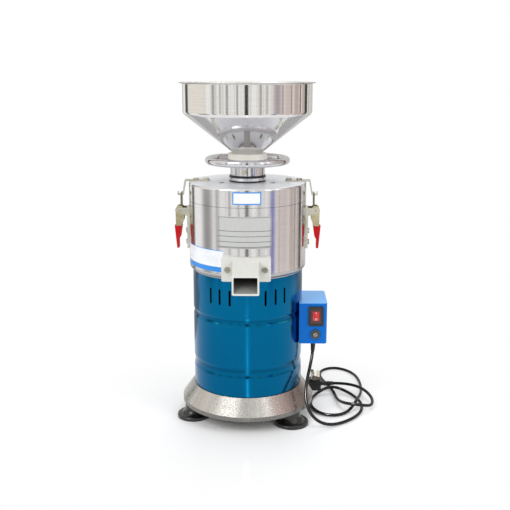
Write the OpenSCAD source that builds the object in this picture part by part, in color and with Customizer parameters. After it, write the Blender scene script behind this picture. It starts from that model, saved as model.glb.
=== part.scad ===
// Upright soybean grinder: motor base, grinding drum, clamped lid, gap handwheel and feed hopper.
// Millimetres, +Z up, floor at z = 0, chute towards -Y, control box towards +X.

/* [Placement] */
// Place of the machine's axis along X, so that the whole machine is centred on the origin
axis_x = -6.4; // [-20:0.5:20]

/* [Fits] */
// Radial gap between pieces that are fixed in each other
fit_gap = 0.05; // [0.02:0.01:0.2]
// Radial gap of a shaft or pin that turns in a hole
run_gap = 0.05; // [0.02:0.01:0.1]
// Gap between pieces that move past each other
move_gap = 0.3; // [0.2:0.05:1]
// Height of a seat gap under a piece that lifts off
seat_gap = 0.2; // [0.1:0.05:0.5]

/* [Feet and base] */
// Height of the rubber feet
foot_h = 26; // [15:1:40]
// Radius of a foot's suction disc
foot_r = 31; // [20:0.5:40]
// Radius of a foot's neck
foot_neck_r = 16; // [10:0.5:22]
// Distance of the feet's middle inside the base casting's lip
foot_in = 15.9; // [8:0.1:30]
// Angle of the first foot from the chute, seen from above
foot_angle = -70; // [-120:1:120]
// Number of feet
foot_count = 3; // [3:1:6]
// Radius of the foot bolt
foot_bolt_r = 4; // [3:0.5:6]
// Width of the base casting beyond the motor housing
base_out = 22.6; // [10:0.1:40]
// Height of the base casting's lip
base_lip_h = 8; // [4:0.5:14]
// Width of the base casting's top edge beyond the motor housing
base_top_out = 2; // [0.5:0.1:8]
// Height of the base casting
base_h = 37; // [25:1:50]
// Thickness of the base casting's floor
base_floor_t = 7; // [4:0.5:12]
// Radius of the air holes in the base casting
base_hole_r = 8; // [4:0.5:10]

/* [Motor] */
// Outer radius of the motor housing
housing_r = 101.6; // [80:0.1:110]
// Wall of the motor housing
housing_t = 2.5; // [1.5:0.1:4]
// Height of the housing's top edge
housing_z1 = 283; // [240:1:300]
// Height of the lower rolled groove
groove_low_z = 109; // [90:1:130]
// Half width of the lower rolled groove
groove_low_w = 10; // [4:0.5:14]
// Height of the upper rolled groove
groove_high_z = 204; // [180:1:225]
// Half width of the upper rolled groove
groove_high_w = 7; // [4:0.5:14]
// Depth of the rolled grooves
groove_d = 1.4; // [0.5:0.1:2]
// Width of a vent slot
vent_w = 4; // [2:0.5:8]
// Height of a vent slot
vent_h = 29; // [15:1:40]
// Height of the middle of the vent slots
vent_z = 248.5; // [230:0.5:265]
// Angle from the middle to the first slot of each side
vent_first = 18.2; // [5:0.1:25]
// Angle between neighbouring slots
vent_step = 11.1; // [6:0.1:15]
// Turn of the middle of each vent row from the front
vent_mid = 1.3; // [-5:0.1:5]
// Radius of the motor shaft
shaft_r = 10; // [6:0.5:15]
// Outer radius of the bearings
bearing_r = 23.5; // [15:0.5:30]
// Width of the bearings
bearing_w = 14; // [8:0.5:20]
// Radius of the rotor
rotor_r = 45.5; // [30:0.5:60]
// Air gap between rotor and stator
air_gap = 0.6; // [0.4:0.1:1.5]
// Distance of the fan's edge inside the housing's wall
fan_in = 19.1; // [12:0.1:40]
// Number of fan blades
fan_blades = 8; // [4:1:14]

/* [Drum] */
// Width of the drum and the lid beyond the motor housing
drum_out = 5.6; // [1:0.1:10]
// Wall of the drum and the lid
drum_t = 2.5; // [1.5:0.1:4]
// Height of the drum's bottom
drum_z0 = 285; // [270:1:300]
// Height of the seam between drum and lid
seam_z = 411; // [380:1:430]
// Thickness of the drum's floor
drum_floor_t = 6; // [3:0.5:10]
// Radius of the drum's rounded bottom edge
drum_edge_r = 7; // [3:0.5:10]
// Distance between the drum's wall and the ring that keeps milk and pulp apart
pulp_gap = 22.5; // [14:0.5:35]
// Outer radius of the rear milk spout
spout_r = 8; // [5:0.5:12]
// Length of the milk spout behind the drum
spout_out = 42.8; // [20:1:70]
// Height of the milk spout's pipe above the drum's floor
spout_up = 3; // [2:0.5:20]

/* [Chute] */
// Width of the chute's flange
flange_w = 86; // [70:1:100]
// Height of the bottom of the chute's flange
flange_z0 = 283; // [275:1:295]
// Height of the chute's flange
flange_h = 42.5; // [30:0.5:60]
// Distance of the flange's front face from the drum
flange_out = 4.5; // [3:0.5:10]
// Width of the duct
duct_w = 46.6; // [30:0.1:60]
// Upright height of the duct's mouth
duct_h = 34.6; // [25:0.1:45]
// Wall of the duct
duct_t = 3; // [2:0.1:5]
// Distance of the mouth from the drum
duct_out = 42.8; // [25:1:75]
// Height of the bottom of the mouth
duct_z0 = 268.5; // [250:0.5:285]
// Slope of the duct
duct_slope = 25; // [10:1:40]
// Distance of the flange screws from the middle
flange_screw_x = 32.7; // [27:0.1:40]

/* [Lid and latches] */
// Height of the lid's top
lid_z1 = 444; // [430:1:460]
// Radius of the lid's rounded top edge
lid_edge_r = 4; // [1:0.5:8]
// Thickness of the lid's top
lid_top_t = 3; // [2:0.5:5]
// Radius of the lid boss neck
boss_r = 31; // [27:0.5:36]
// Radius of the lid boss flange
boss_flange_r = 62; // [50:1:75]
// Radius of the circle of lid screws
lid_screw_circle_r = 53; // [45:1:70]
// Distance of the latch lever's pivot from the drum
pivot_out = 17; // [12:0.5:25]
// Height of the latch lever's pivot
pivot_z = 391; // [380:0.5:400]
// Distance of the bail's pin from the drum
bail_pin_out = 14.5; // [9:0.5:21]
// Height of the bail's pin
bail_pin_z = 373.5; // [360:0.5:385]
// Distance of the bail's hook bar from the drum
hook_out = 13.9; // [9:0.1:21]
// Height of the bail's hook bar
hook_z = 422; // [415:0.5:430]
// Radius of the bail's wire
bail_wire_r = 1.5; // [1:0.1:2.5]
// Radius of the latch pins
latch_pin_r = 2; // [1:0.1:3]
// Half width of a latch base
latch_half_w = 13.2; // [10:0.1:18]
// Height of the bottom of a latch base
latch_z0 = 321; // [310:1:335]
// Height of the top of a latch base
latch_z1 = 397; // [390:1:405]

/* [Grinding set] */
// Radius of the grinding stones
stone_r = 50; // [40:1:60]
// Thickness of a grinding stone
stone_t = 18; // [10:1:25]
// Height of the underside of the lower stone
stone_z0 = 352; // [340:1:360]
// Gap between the stones at rest
stone_gap = 1; // [0.6:0.1:3]
// Outer radius of the threaded feed sleeve
sleeve_r = 24; // [20:0.5:30]
// Inner radius of the threaded feed sleeve
sleeve_bore_r = 20; // [15:0.5:26]
// Radius of the upper stone's holder
holder_r = 53; // [45:1:60]
// Gap between the separator basket's rim and the milk ring
basket_gap = 2.5; // [1.5:0.5:8]
// Number of slots in the separator basket
basket_slots = 12; // [6:1:24]

/* [Handwheel] */
// Radius of the middle of the handwheel's rim
wheel_r = 70.5; // [55:0.5:90]
// Radius of the rim's tube
wheel_tube_r = 6.5; // [4:0.5:10]
// Height of the rim's middle
wheel_z = 482; // [470:1:495]
// Radius of the handwheel's hub
hub_r = 31.5; // [28:0.5:36]
// Height of the underside of the hub
hub_z0 = 456; // [450:0.5:462]
// Width of a spoke
spoke_w = 16; // [8:1:24]
// Thickness of a spoke
spoke_t = 5; // [3:0.5:8]
// Number of spokes
spoke_count = 3; // [2:1:6]

/* [Hopper] */
// Height of the hopper's rim
hopper_z1 = 620; // [560:1:680]
// Radius of the hopper's cylinder
hopper_r = 116; // [90:0.5:140]
// Width of the hopper's rim
hopper_rim_w = 5.6; // [3:0.1:10]
// Sheet of the hopper
hopper_t = 1.2; // [0.8:0.1:3]
// Height where cylinder and cone meet
hopper_cone_z = 566; // [540:1:600]
// Height of the bottom of the cone
hopper_neck_z = 496; // [490:1:510]
// Outer radius of the hopper's neck
hopper_neck_r = 27; // [22:0.5:32]
// Outer radius of the collar
collar_r = 35; // [29:0.5:40]
// Height of the collar's top
collar_z1 = 494.5; // [490:0.5:500]

/* [Control box] */
// Depth of the housing's curve that the box's inner side takes in
box_in = 6; // [4:0.1:15]
// Width of the box
box_w = 51.4; // [40:0.1:80]
// Depth of the box
box_d = 87; // [60:1:110]
// Height of the box's underside
box_z0 = 147; // [120:1:170]
// Height of the box
box_h = 77.5; // [50:0.5:110]
// Sheet of the box
box_t = 1.6; // [1:0.1:3]
// Distance of the switch from the box's inner side
switch_at = 30.8; // [20:0.1:36]
// Distance of the switch's middle below the box's top
switch_down = 24.5; // [20:0.5:34]
// Width of the switch's bezel
bezel_w = 27.5; // [20:0.5:34]
// Height of the switch's bezel
bezel_h = 37; // [26:0.5:44]
// Travel of the switch's rocker in degrees
rocker_travel = 20; // [10:1:30]
// Distance of the overload protector from the box's inner side
reset_at = 30.1; // [20:0.1:36]
// Distance of the overload protector below the switch's middle
reset_down = 34.4; // [28:0.1:40]
// Radius of the overload protector's ring
reset_ring_r = 8.75; // [6:0.25:11]
// Travel of the reset button
reset_travel = 3; // [1:0.5:5]

/* [Cord] */
// Diameter of the mains cord
cord_d = 6; // [4:0.5:9]
// Distance of the cord gland from the box's inner side
gland_at = 28; // [16:0.1:38]
// Place of the cord gland from front to back
gland_y = -12; // [-30:1:30]
// Length of the gland below the box
gland_h = 10; // [6:0.5:14]

/* [Hidden] */
$fn = 96;
cut = 1;

// Base and feet
base_r = housing_r + base_out;
base_top_r = housing_r + base_top_out;
foot_circle_r = base_r - foot_in;
base_z0 = foot_h;
base_z1 = base_z0 + base_h;
base_lip_z1 = base_z0 + base_lip_h;
base_floor_z1 = base_z0 + base_floor_t;
base_ledge_w = 7.6;
base_bore_r = housing_r - base_ledge_w;
base_seat_h = 3;
base_seat_z = base_z1 - base_seat_h;
base_hole_circle_r = 60;
base_hole_count = 6;
cup_depth = 4;
cup_r = foot_r - 4;
cup_sphere_r = (cup_r * cup_r + cup_depth * cup_depth) / (2 * cup_depth);
foot_disc_h = 7;
foot_edge_r = 3;
foot_fillet_r = 11;
foot_bolt_head_r = 7;
foot_bolt_head_h = 5;
foot_bolt_seat_z = 14;
foot_bolt_depth = 14;
foot_well_r = foot_bolt_head_r + 2;

// Motor
bore_r = housing_r - housing_t;
fan_r = bore_r - fan_in;
low_bearing_z = base_floor_z1 + 9;
low_boss_t = 10;
low_boss_r = bearing_r + low_boss_t;
shaft_z0 = low_bearing_z + 1;
shield_t = 15;
shield_lip_t = drum_z0 - housing_z1;
shield_z0 = drum_z0 - shield_t;
high_bearing_z = shield_z0 - bearing_w;
stator_z0 = groove_low_z + groove_low_w;
stator_z1 = groove_high_z - groove_high_w;
stator_bore_r = rotor_r + air_gap;
stator_slots = 12;
stator_slot_w = 8;
stator_slot_d = 16;
air_channel_r = 10;
winding_r0 = stator_bore_r + 5;
winding_w = 26;
winding_r1 = winding_r0 + winding_w;
winding_h = 24;
winding_edge_r = 8;
fan_z0 = base_z1 + 4;
fan_plate_t = 2;
fan_blade_h = 14;
fan_blade_t = 2;
fan_hub_r = 18;

// Drum
drum_r = housing_r + drum_out;
drum_bore_r = drum_r - drum_t;
drum_floor_z = drum_z0 + drum_floor_t;
milk_ring_r = drum_r - pulp_gap;
seal_boss_r = 30;
seal_boss_h = 32;
seal_r = 20;
seal_h = 10;
seal_z0 = drum_floor_z + seal_boss_h - seal_h;
seal_ledge_r = 15;
milk_ring_t = 1.5;
milk_ring_z1 = 400;
spout_t = 1.5;
spout_flange_w = 7;
spout_flange_r = spout_r + spout_flange_w;
spout_y = drum_r + spout_out;
spout_z = drum_floor_z + spout_r + spout_up;
spout_flange_y = drum_r + 4;
spout_bead = 0.6;
spout_bead_w = 3;
spout_bead_in = 22;
spout_bead_y = spout_y - spout_bead_in;
gasket_h = 3;
gasket_t = 5;
plate_t = 0.8;
name_plate_a = 50.8;
name_plate_mid = -1.5;
name_plate_z0 = 340;
name_plate_h = 56.5;
badge_a = 26.4;
badge_mid = 0.7;
badge_z0 = 417.2;
badge_h = 21.6;

// Chute
flange_y = drum_r + flange_out;
duct_y = drum_r + duct_out;
duct_edge_r = 2.5;
duct_run = 60;
duct_tall = duct_h * cos(duct_slope);
duct_in_w = duct_w - 2 * duct_t;
duct_in_tall = duct_tall - 2 * duct_t;
window_w = duct_in_w;
window_z0 = drum_floor_z + 1;
window_h = 28;
flange_edge_r = 3;
flange_screw_z = flange_z0 + flange_h / 2;

// Small screws
screw_r = 2;
screw_head_r = 5;
screw_head_h = 3;
screw_slot_w = 1;
screw_slot_d = 1;

// Lid
lid_z0 = seam_z + 0.5;
lid_top_z0 = lid_z1 - lid_top_t;
boss_flange_t = 7;
boss_z0 = 420;
boss_z1 = 452;
boss_seal_r = 33;
boss_seal_z1 = 447;
boss_ring_r = 34;
dust_ring_z1 = 455.3;
dust_ring_r0 = sleeve_r + 2;
csk_r = 5;
csk_shank_r = 2.5;
csk_h = 2.5;
csk_len = 11;
lid_screw_first = 60;

// Latches
plate_out = 3.5;
plate_x = drum_r + plate_out;
pivot_x = drum_r + pivot_out;
bail_pin_x = drum_r + bail_pin_out;
hook_x = drum_r + hook_out;
ear_t = 2;
cheek_t = 2;
cheek_y1 = latch_half_w - ear_t - 0.4;
cheek_y0 = cheek_y1 - cheek_t;
ear_y0 = latch_half_w - ear_t;
ear_r = 5;
eye_r = 3.6;
eye_half_w = bail_wire_r + 0.3;
bail_leg_y = 6.5;
hook_bar_r = bail_wire_r + 0.1;
bail_tilt = atan2(bail_pin_x - hook_x, hook_z - bail_pin_z);
bail_len = norm([bail_pin_x - hook_x, hook_z - bail_pin_z]);
grip_z1 = 362;
grip_z0 = 320;
grip_half_w = 8;
lever_r = 8;
lever_x1 = pivot_x + 7;
grip_top = [drum_r + 13.2, drum_r + 27];
grip_waist = [drum_r + 16.2, 341.5];
grip_tail_z = 336.5;
grip_tip = [drum_r + 19.4, drum_r + 23.2];
tang = [drum_r + 20.2, drum_r + 22.2];
tang_z0 = 332;
tang_half_w = 5;
web_z1 = 368;
catch_t = 2;
catch_half_w = 10;
catch_x0 = drum_r - 39;
catch_bend_x = drum_r + 5.2;
tongue_half_w = 4.5;
tongue_z1 = 432;
trough_gap = 0.4;
hook_plate_gap = 2;
hook_lip_gap = 5;
hook_lip_h = 2.3;
catch_screw_x = [drum_r - 32, drum_r - 13];
latch_screw_z = [331, 352];

// Grinding set
carrier_r = 52;
carrier_t = 12;
carrier_z0 = stone_z0 - carrier_t;
thread_r = 8;
lower_stone_z1 = stone_z0 + stone_t;
stone_recess_r = 24;
stone_recess_h = 8;
nut_r = 13;
nut_flange_r = 20;
nut_flange_t = 3;
nut_h = 9;
nut_z0 = lower_stone_z1 - stone_recess_h;
thread_z1 = nut_z0 + nut_h + 2;
upper_stone_z0 = lower_stone_z1 + stone_gap;
upper_stone_z1 = upper_stone_z0 + stone_t;
stone_mouth_r = 38;
stone_mouth_h = 10;
holder_t = 8;
holder_z1 = upper_stone_z1 + holder_t;
basket_t = 1.5;
basket_rim_r = milk_ring_r - basket_gap;
basket_z0 = carrier_z0 - basket_t;
basket_r = 56;
basket_z1 = 403;
basket_flange_w = 6;
basket_slot_w = 2;
basket_slot_h = 36;
basket_slot_z = 358;

// Handwheel, collar and hopper
hub_z1 = 483.8;
spoke_z = 478;
lock_screw_angle = -10;
lock_screw_z = 463;
lock_screw_r = 3;
lock_head_r = 4.5;
lock_head_h = 3.5;
lock_spot_r = hub_r - 0.6;
hub_slot_angle = 17;
hub_slot_w = 3;
hub_slot_h = 15;
collar_z0 = 484.3;
collar_spigot_z0 = 470;
collar_spigot_r = sleeve_bore_r - run_gap;
collar_bore_r = 17.5;
collar_socket_z = 488;
hopper_spigot_z = collar_socket_z + seat_gap;
hopper_slope = atan2(hopper_r - hopper_neck_r, hopper_cone_z - hopper_neck_z);
hopper_t_z = hopper_t * tan((90 - hopper_slope) / 2);

// Control box
box_x0 = housing_r - box_in;
box_x1 = box_x0 + box_w;
switch_x = box_x0 + switch_at;
reset_x = box_x0 + reset_at;
gland_x = box_x0 + gland_at;
box_y = box_d / 2;
box_bend_r = 6;
box_z1 = box_z0 + box_h;
switch_z = box_z1 - switch_down;
reset_z = switch_z - reset_down;
bezel_t = 2.2;
bezel_edge_r = 2;
switch_body_w = 25;
switch_body_h = 34;
switch_body_d = 24;
rocker_w = 21.4;
rocker_r = 14.5;
rocker_pin_r = 1.5;
rocker_pin_len = 1;
rocker_y = -(box_y - 0.5);
rocker_front = 5;
rocker_back = 3;
rocker_wedge = rocker_travel / 2;
rocker_well_d = 9;
reset_body_r = 7;
reset_body_d = 22;
reset_ring_t = 3.5;
reset_button_r = 4.5;
reset_out = 2;
reset_len = 12;
gland_r = 7;
gland_neck_r = 5.5;
gland_neck_h = 11;
gland_tip_r = 4.4;
gland_bore_r = 3.2;

// Cord and plug, along points in millimetres from the gland's axis and the floor
cord_floor = 3.6;
cord_points = [
    [0, 0, box_z0 - gland_h], [0, 0, box_z0 - gland_h - 15], [-4, -14, 103], [-12, -38, 80],
    [-17, -62, 56], [-11, -80, 32], [9, -84, 12], [35, -75, cord_floor],
    [67, -53, cord_floor], [92, -21, cord_floor], [101, 20, cord_floor], [90, 61, cord_floor],
    [68, 86, 8], [41, 92, 15], [13, 76, cord_floor], [-2, 42, cord_floor],
    [-1, 6, cord_floor], [16, -26, cord_floor], [47, -33, cord_floor], [73, -11, cord_floor],
    [90, 24, 16], [101, 64, 6], [107, 106, cord_floor], [107, 150, cord_floor],
    [98, 194, cord_floor], [63, 226, cord_floor], [27, 205, cord_floor], [24, 162, cord_floor],
    [39, 122, cord_floor], [49, 86, cord_floor], [51, 52, cord_floor], [56, 22, 9],
    [70, -5, 16], [95, -9, 16], [117, 6, 6], [123, 40, 9],
    [108, 76, 15], [83, 101, 14], [56, 111, 11.6], [36, 112, 10.6]
];
cord_route = [for (p = cord_points) [gland_x + p[0], gland_y + p[1], p[2]]];
cord_steps = 2;
cord_sides = 10;
plug_end = cord_route[len(cord_route) - 1];
relief_len = 12;
relief_r = 5;
relief_ribs = 4;
plug_len = 27;
plug_w = 26;
plug_h = 19;
plug_edge_r = 6;
plug_x = plug_end[0] - relief_len - plug_len / 2;
plug_nose_h = 3;
plug_nose_r = 12;
pin_len = 16;
pin_w = 6.4;
pin_t = 1.6;
pin_place_r = 7.5;
pin_tilt = 30;

// A ring about Z
module tube(r1, r0, z0, z1) {
    translate([0, 0, z0])
        difference() {
            cylinder(r = r1, h = z1 - z0);
            translate([0, 0, -cut])
                cylinder(r = r0, h = z1 - z0 + 2 * cut);
        }
}

// A cylinder about Z between two heights
module rod(r, z0, z1) {
    translate([0, 0, z0])
        cylinder(r = r, h = z1 - z0);
}

// A cylinder along +Y from a point
module rod_y(r, x, y0, y1, z) {
    translate([x, y0, z])
        rotate([-90, 0, 0])
            cylinder(r = r, h = y1 - y0);
}

// A cylinder along +X from a point
module rod_x(r, x0, x1, y, z) {
    translate([x0, y, z])
        rotate([0, 90, 0])
            cylinder(r = r, h = x1 - x0);
}

// A rectangle with round corners, about its middle
module round_rect(w, h, r) {
    square([w - 2 * r, h], center = true);
    square([w, h - 2 * r], center = true);
    for (sx = [-1, 1], sy = [-1, 1])
        translate([sx * (w / 2 - r), sy * (h / 2 - r)])
            circle(r = r);
}

// An outline in X and Z, made thick along Y about y = 0
module slab_xz(half_w) {
    translate([0, half_w, 0])
        rotate([90, 0, 0])
            linear_extrude(height = 2 * half_w)
                children();
}

// An outline in X and Z on both sides of y = 0, from y0 to y1
module cheeks_xz(y0, y1) {
    for (y = [y1, -y0])
        translate([0, y, 0])
            rotate([90, 0, 0])
                linear_extrude(height = y1 - y0)
                    children();
}

// Turned from the front, seen from above, towards +X
module turned(angle) {
    rotate([0, 0, angle])
        children();
}

// The machine's axis stands beside the origin
module placed() {
    translate([axis_x, 0, 0])
        children();
}

// A pan head screw along -Z with the underside of its head at the origin
module pan_screw(len) {
    rod(screw_r, -len, 0);
    difference() {
        rod(screw_head_r, 0, screw_head_h);
        translate([-screw_head_r, -screw_slot_w / 2, screw_head_h - screw_slot_d])
            cube([2 * screw_head_r, screw_slot_w, screw_slot_d + cut]);
    }
}

module base_casting() {
    color("silver")
        difference() {
            rotate_extrude()
                polygon([
                    [0, base_z0], [base_r, base_z0], [base_r, base_lip_z1], [base_top_r, base_z1],
                    [housing_r + fit_gap, base_z1], [housing_r + fit_gap, base_seat_z],
                    [base_bore_r, base_seat_z], [base_bore_r, base_floor_z1],
                    [low_boss_r, base_floor_z1], [low_boss_r, low_bearing_z + bearing_w],
                    [bearing_r + fit_gap, low_bearing_z + bearing_w],
                    [bearing_r + fit_gap, low_bearing_z], [0, low_bearing_z]
                ]);
            for (i = [0 : foot_count - 1])
                turned(foot_angle + i * 360 / foot_count)
                    translate([0, -foot_circle_r, 0])
                        rod(foot_bolt_r + fit_gap, base_z0 - cut, base_z0 + foot_bolt_depth + cut);
            for (i = [0 : base_hole_count - 1])
                turned((i + 0.5) * 360 / base_hole_count)
                    translate([0, -base_hole_circle_r, 0])
                        rod(base_hole_r, base_z0 - cut, base_floor_z1 + cut);
        }
}

// Half section of a foot: a disc with a round edge, a hollow shoulder and a neck
module foot_section() {
    difference() {
        union() {
            square([foot_r, foot_disc_h - foot_edge_r]);
            square([foot_r - foot_edge_r, foot_disc_h]);
            translate([foot_r - foot_edge_r, foot_disc_h - foot_edge_r])
                circle(r = foot_edge_r);
            square([foot_neck_r + foot_fillet_r, foot_disc_h + foot_fillet_r]);
            square([foot_neck_r, foot_h]);
        }
        translate([foot_neck_r + foot_fillet_r, foot_disc_h + foot_fillet_r])
            circle(r = foot_fillet_r);
    }
}

module foot(index) {
    color("dimgray")
        turned(foot_angle + index * 360 / foot_count)
            translate([0, -foot_circle_r, 0])
                difference() {
                    rotate_extrude()
                        foot_section();
                    translate([0, 0, cup_depth - cup_sphere_r])
                        sphere(r = cup_sphere_r);
                    rod(foot_well_r, 0, foot_bolt_seat_z);
                    rod(foot_bolt_r + fit_gap, 0, foot_h + cut);
                }
}

module foot_left() {
    foot(0);
}

module foot_right() {
    foot(1);
}

module foot_rear() {
    foot(2);
}

module foot_bolts() {
    color("gray")
        for (i = [0 : foot_count - 1])
            turned(foot_angle + i * 360 / foot_count)
                translate([0, -foot_circle_r, 0]) {
                    translate([0, 0, foot_bolt_seat_z - foot_bolt_head_h])
                        cylinder(r = foot_bolt_head_r, h = foot_bolt_head_h, $fn = 6);
                    rod(foot_bolt_r, foot_bolt_seat_z - cut, base_z0 + foot_bolt_depth);
                }
}

// The ring that a rolled groove takes out of the housing
module rolled_groove(z, half_w) {
    roll_r = (half_w * half_w + groove_d * groove_d) / (2 * groove_d);
    translate([0, 0, z])
        rotate_extrude()
            translate([housing_r - groove_d + roll_r, 0])
                circle(r = roll_r);
}

module vent_slot() {
    slot_r = vent_w / 2;
    straight = vent_h - vent_w;
    translate([-slot_r, -housing_r - cut, vent_z - straight / 2])
        cube([vent_w, housing_t + 3 * cut, straight]);
    for (s = [-1, 1])
        rod_y(slot_r, 0, -housing_r - cut, -bore_r + 2 * cut, vent_z + s * straight / 2);
}

module motor_housing() {
    color("darkcyan")
        difference() {
            tube(housing_r, bore_r, base_seat_z, housing_z1);
            rolled_groove(groove_low_z, groove_low_w);
            rolled_groove(groove_high_z, groove_high_w);
            for (face = [0, 180], side = [-1, 1], i = [0 : 2])
                turned(face + vent_mid + side * (vent_first + i * vent_step))
                    vent_slot();
        }
}

module motor_top_shield() {
    color("silver")
        difference() {
            union() {
                rod(housing_r, housing_z1, drum_z0);
                rod(bore_r - fit_gap, shield_z0, housing_z1);
                rod(low_boss_r, high_bearing_z, shield_z0);
            }
            rod(bearing_r + fit_gap, high_bearing_z - cut, shield_z0);
            rod(shaft_r + cut, shield_z0 - cut, drum_z0 + cut);
        }
}

module stator_core() {
    color("slategray")
        difference() {
            tube(bore_r - fit_gap, stator_bore_r, stator_z0, stator_z1);
            for (i = [0 : stator_slots - 1])
                turned(i * 360 / stator_slots)
                    translate([-stator_slot_w / 2, stator_bore_r - cut, stator_z0 - cut])
                        cube([stator_slot_w, stator_slot_d + cut, stator_z1 - stator_z0 + 2 * cut]);
            for (i = [0 : stator_slots - 1])
                turned((i + 0.5) * 360 / stator_slots)
                    translate([0, -bore_r, 0])
                        rod(air_channel_r, stator_z0 - cut, stator_z1 + cut);
        }
}

module winding_ring(z0) {
    translate([0, 0, z0 + winding_h / 2])
        rotate_extrude()
            translate([(winding_r0 + winding_r1) / 2, 0])
                round_rect(winding_r1 - winding_r0, winding_h, winding_edge_r);
}

module stator_windings() {
    color("peru") {
        winding_ring(stator_z0 - winding_h);
        winding_ring(stator_z1);
    }
}

module lower_bearing() {
    color("lightgray")
        tube(bearing_r, shaft_r + run_gap, low_bearing_z, low_bearing_z + bearing_w);
}

module upper_bearing() {
    color("lightgray")
        tube(bearing_r, shaft_r + run_gap, high_bearing_z, high_bearing_z + bearing_w);
}

module motor_shaft() {
    color("gray") {
        rod(shaft_r, shaft_z0, carrier_z0 + carrier_t / 2);
        rod(thread_r, carrier_z0, thread_z1);
    }
}

module rotor_core() {
    color("gray")
        tube(rotor_r, shaft_r + fit_gap, stator_z0, stator_z1);
}

module cooling_fan() {
    color("dimgray")
        difference() {
            union() {
                rod(fan_r, fan_z0, fan_z0 + fan_plate_t);
                rod(fan_hub_r, fan_z0, fan_z0 + fan_plate_t + fan_blade_h);
                for (i = [0 : fan_blades - 1])
                    turned(i * 360 / fan_blades)
                        translate([-fan_blade_t / 2, -fan_r + cut, fan_z0])
                            cube([fan_blade_t, fan_r - fan_hub_r, fan_plate_t + fan_blade_h]);
            }
            rod(shaft_r + fit_gap, fan_z0 - cut, fan_z0 + fan_plate_t + fan_blade_h + cut);
        }
}

// Half section of the drum: floor, wall with a round lower edge, and the seal boss
module drum_section() {
    difference() {
        union() {
            translate([0, drum_z0])
                square([drum_r - drum_edge_r, drum_floor_t]);
            translate([drum_r - drum_edge_r, drum_z0 + drum_edge_r])
                circle(r = drum_edge_r);
            translate([drum_bore_r, drum_z0 + drum_edge_r])
                square([drum_t, seam_z - drum_z0 - drum_edge_r]);
            translate([0, drum_z0])
                square([seal_boss_r, drum_floor_t + seal_boss_h]);
        }
        translate([drum_r - 2 * drum_edge_r - cut, drum_floor_z])
            square([2 * drum_edge_r + cut - drum_t, drum_edge_r + drum_floor_t]);
        translate([0, drum_z0 - cut])
            square([seal_ledge_r, drum_floor_t + seal_boss_h + 2 * cut]);
        translate([0, seal_z0])
            square([seal_r + fit_gap, seal_h + cut]);
    }
}

module drum() {
    color("gainsboro")
        difference() {
            rotate_extrude()
                drum_section();
            translate([-window_w / 2, -drum_r - cut, window_z0])
                cube([window_w, drum_t + 4 * cut + drum_r - sqrt(drum_r * drum_r - window_w * window_w / 4),
                    window_h]);
            for (s = [-1, 1])
                rod_y(screw_r + fit_gap, s * flange_screw_x, -drum_r, -drum_r / 2, flange_screw_z);
            rod_y(spout_r + fit_gap, 0, drum_bore_r - drum_edge_r, drum_r + cut, spout_z);
            for (z = latch_screw_z, s = [-1, 1])
                rod_x(screw_r + fit_gap, s * drum_r - drum_edge_r, s * drum_r + drum_edge_r, 0, z);
        }
}

module shaft_seal() {
    color("dimgray")
        tube(seal_r, shaft_r + run_gap, seal_z0, seal_z0 + seal_h);
}

module milk_ring() {
    color("lightgray")
        difference() {
            tube(milk_ring_r, milk_ring_r - milk_ring_t, drum_floor_z, milk_ring_z1);
            rod_y(spout_r + fit_gap, 0, milk_ring_r / 2, milk_ring_r + cut, spout_z);
        }
}

module milk_spout() {
    color("lightgray")
        difference() {
            union() {
                rod_y(spout_r, 0, milk_ring_r - 4 * milk_ring_t, spout_y, spout_z);
                rod_y(spout_flange_r, 0, drum_bore_r, spout_flange_y, spout_z);
                rod_y(spout_r + spout_bead, 0, spout_bead_y - spout_bead_w, spout_bead_y, spout_z);
            }
            difference() {
                rod(drum_r + move_gap, spout_z - 2 * spout_flange_r, spout_z + 2 * spout_flange_r);
                rod_y(spout_r, 0, 0, drum_r + cut, spout_z);
            }
            rod_y(spout_r - spout_t, 0, 0, spout_y + cut, spout_z);
        }
}

// The duct's section, drawn out along its slope from the mouth's middle
module duct_run(w, tall, edge_r) {
    translate([0, -duct_y, duct_z0 + duct_h / 2])
        rotate([duct_slope - 90, 0, 0])
            translate([0, 0, -duct_run])
                linear_extrude(height = 2 * duct_run)
                    round_rect(w, tall, edge_r);
}

module chute() {
    color("ivory")
        difference() {
            union() {
                translate([0, -drum_r / 2, flange_z0 + flange_h / 2])
                    rotate([90, 0, 0])
                        linear_extrude(height = flange_y - drum_r / 2)
                            round_rect(flange_w, flange_h, flange_edge_r);
                intersection() {
                    duct_run(duct_w, duct_tall, duct_edge_r);
                    translate([-duct_w, -duct_y, 0])
                        cube([2 * duct_w, duct_y - drum_r / 2, hopper_z1]);
                }
            }
            duct_run(duct_in_w, duct_in_tall, duct_edge_r / 2);
            rod(drum_r + fit_gap, 0, hopper_z1);
            for (s = [-1, 1])
                rod_y(screw_r + fit_gap, s * flange_screw_x, -flange_y - cut, 0, flange_screw_z);
        }
}

module chute_screws() {
    color("lightgray")
        for (s = [-1, 1])
            translate([s * flange_screw_x, -flange_y, flange_screw_z])
                rotate([90, 0, 0])
                    pan_screw(flange_y - drum_bore_r + 2 * drum_t + 5);
}

// A thin plate bent round the drum or the lid
module bent_plate(angle, middle, z0, h) {
    translate([0, 0, z0])
        rotate([0, 0, middle - angle / 2 - 90])
            rotate_extrude(angle = angle)
                translate([drum_r + fit_gap, 0])
                    square([plate_t, h]);
}

module name_plate() {
    color("silver")
        bent_plate(name_plate_a, name_plate_mid, name_plate_z0, name_plate_h);
}

module badge_plate() {
    color("lightblue")
        bent_plate(badge_a, badge_mid, badge_z0, badge_h);
}

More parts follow.
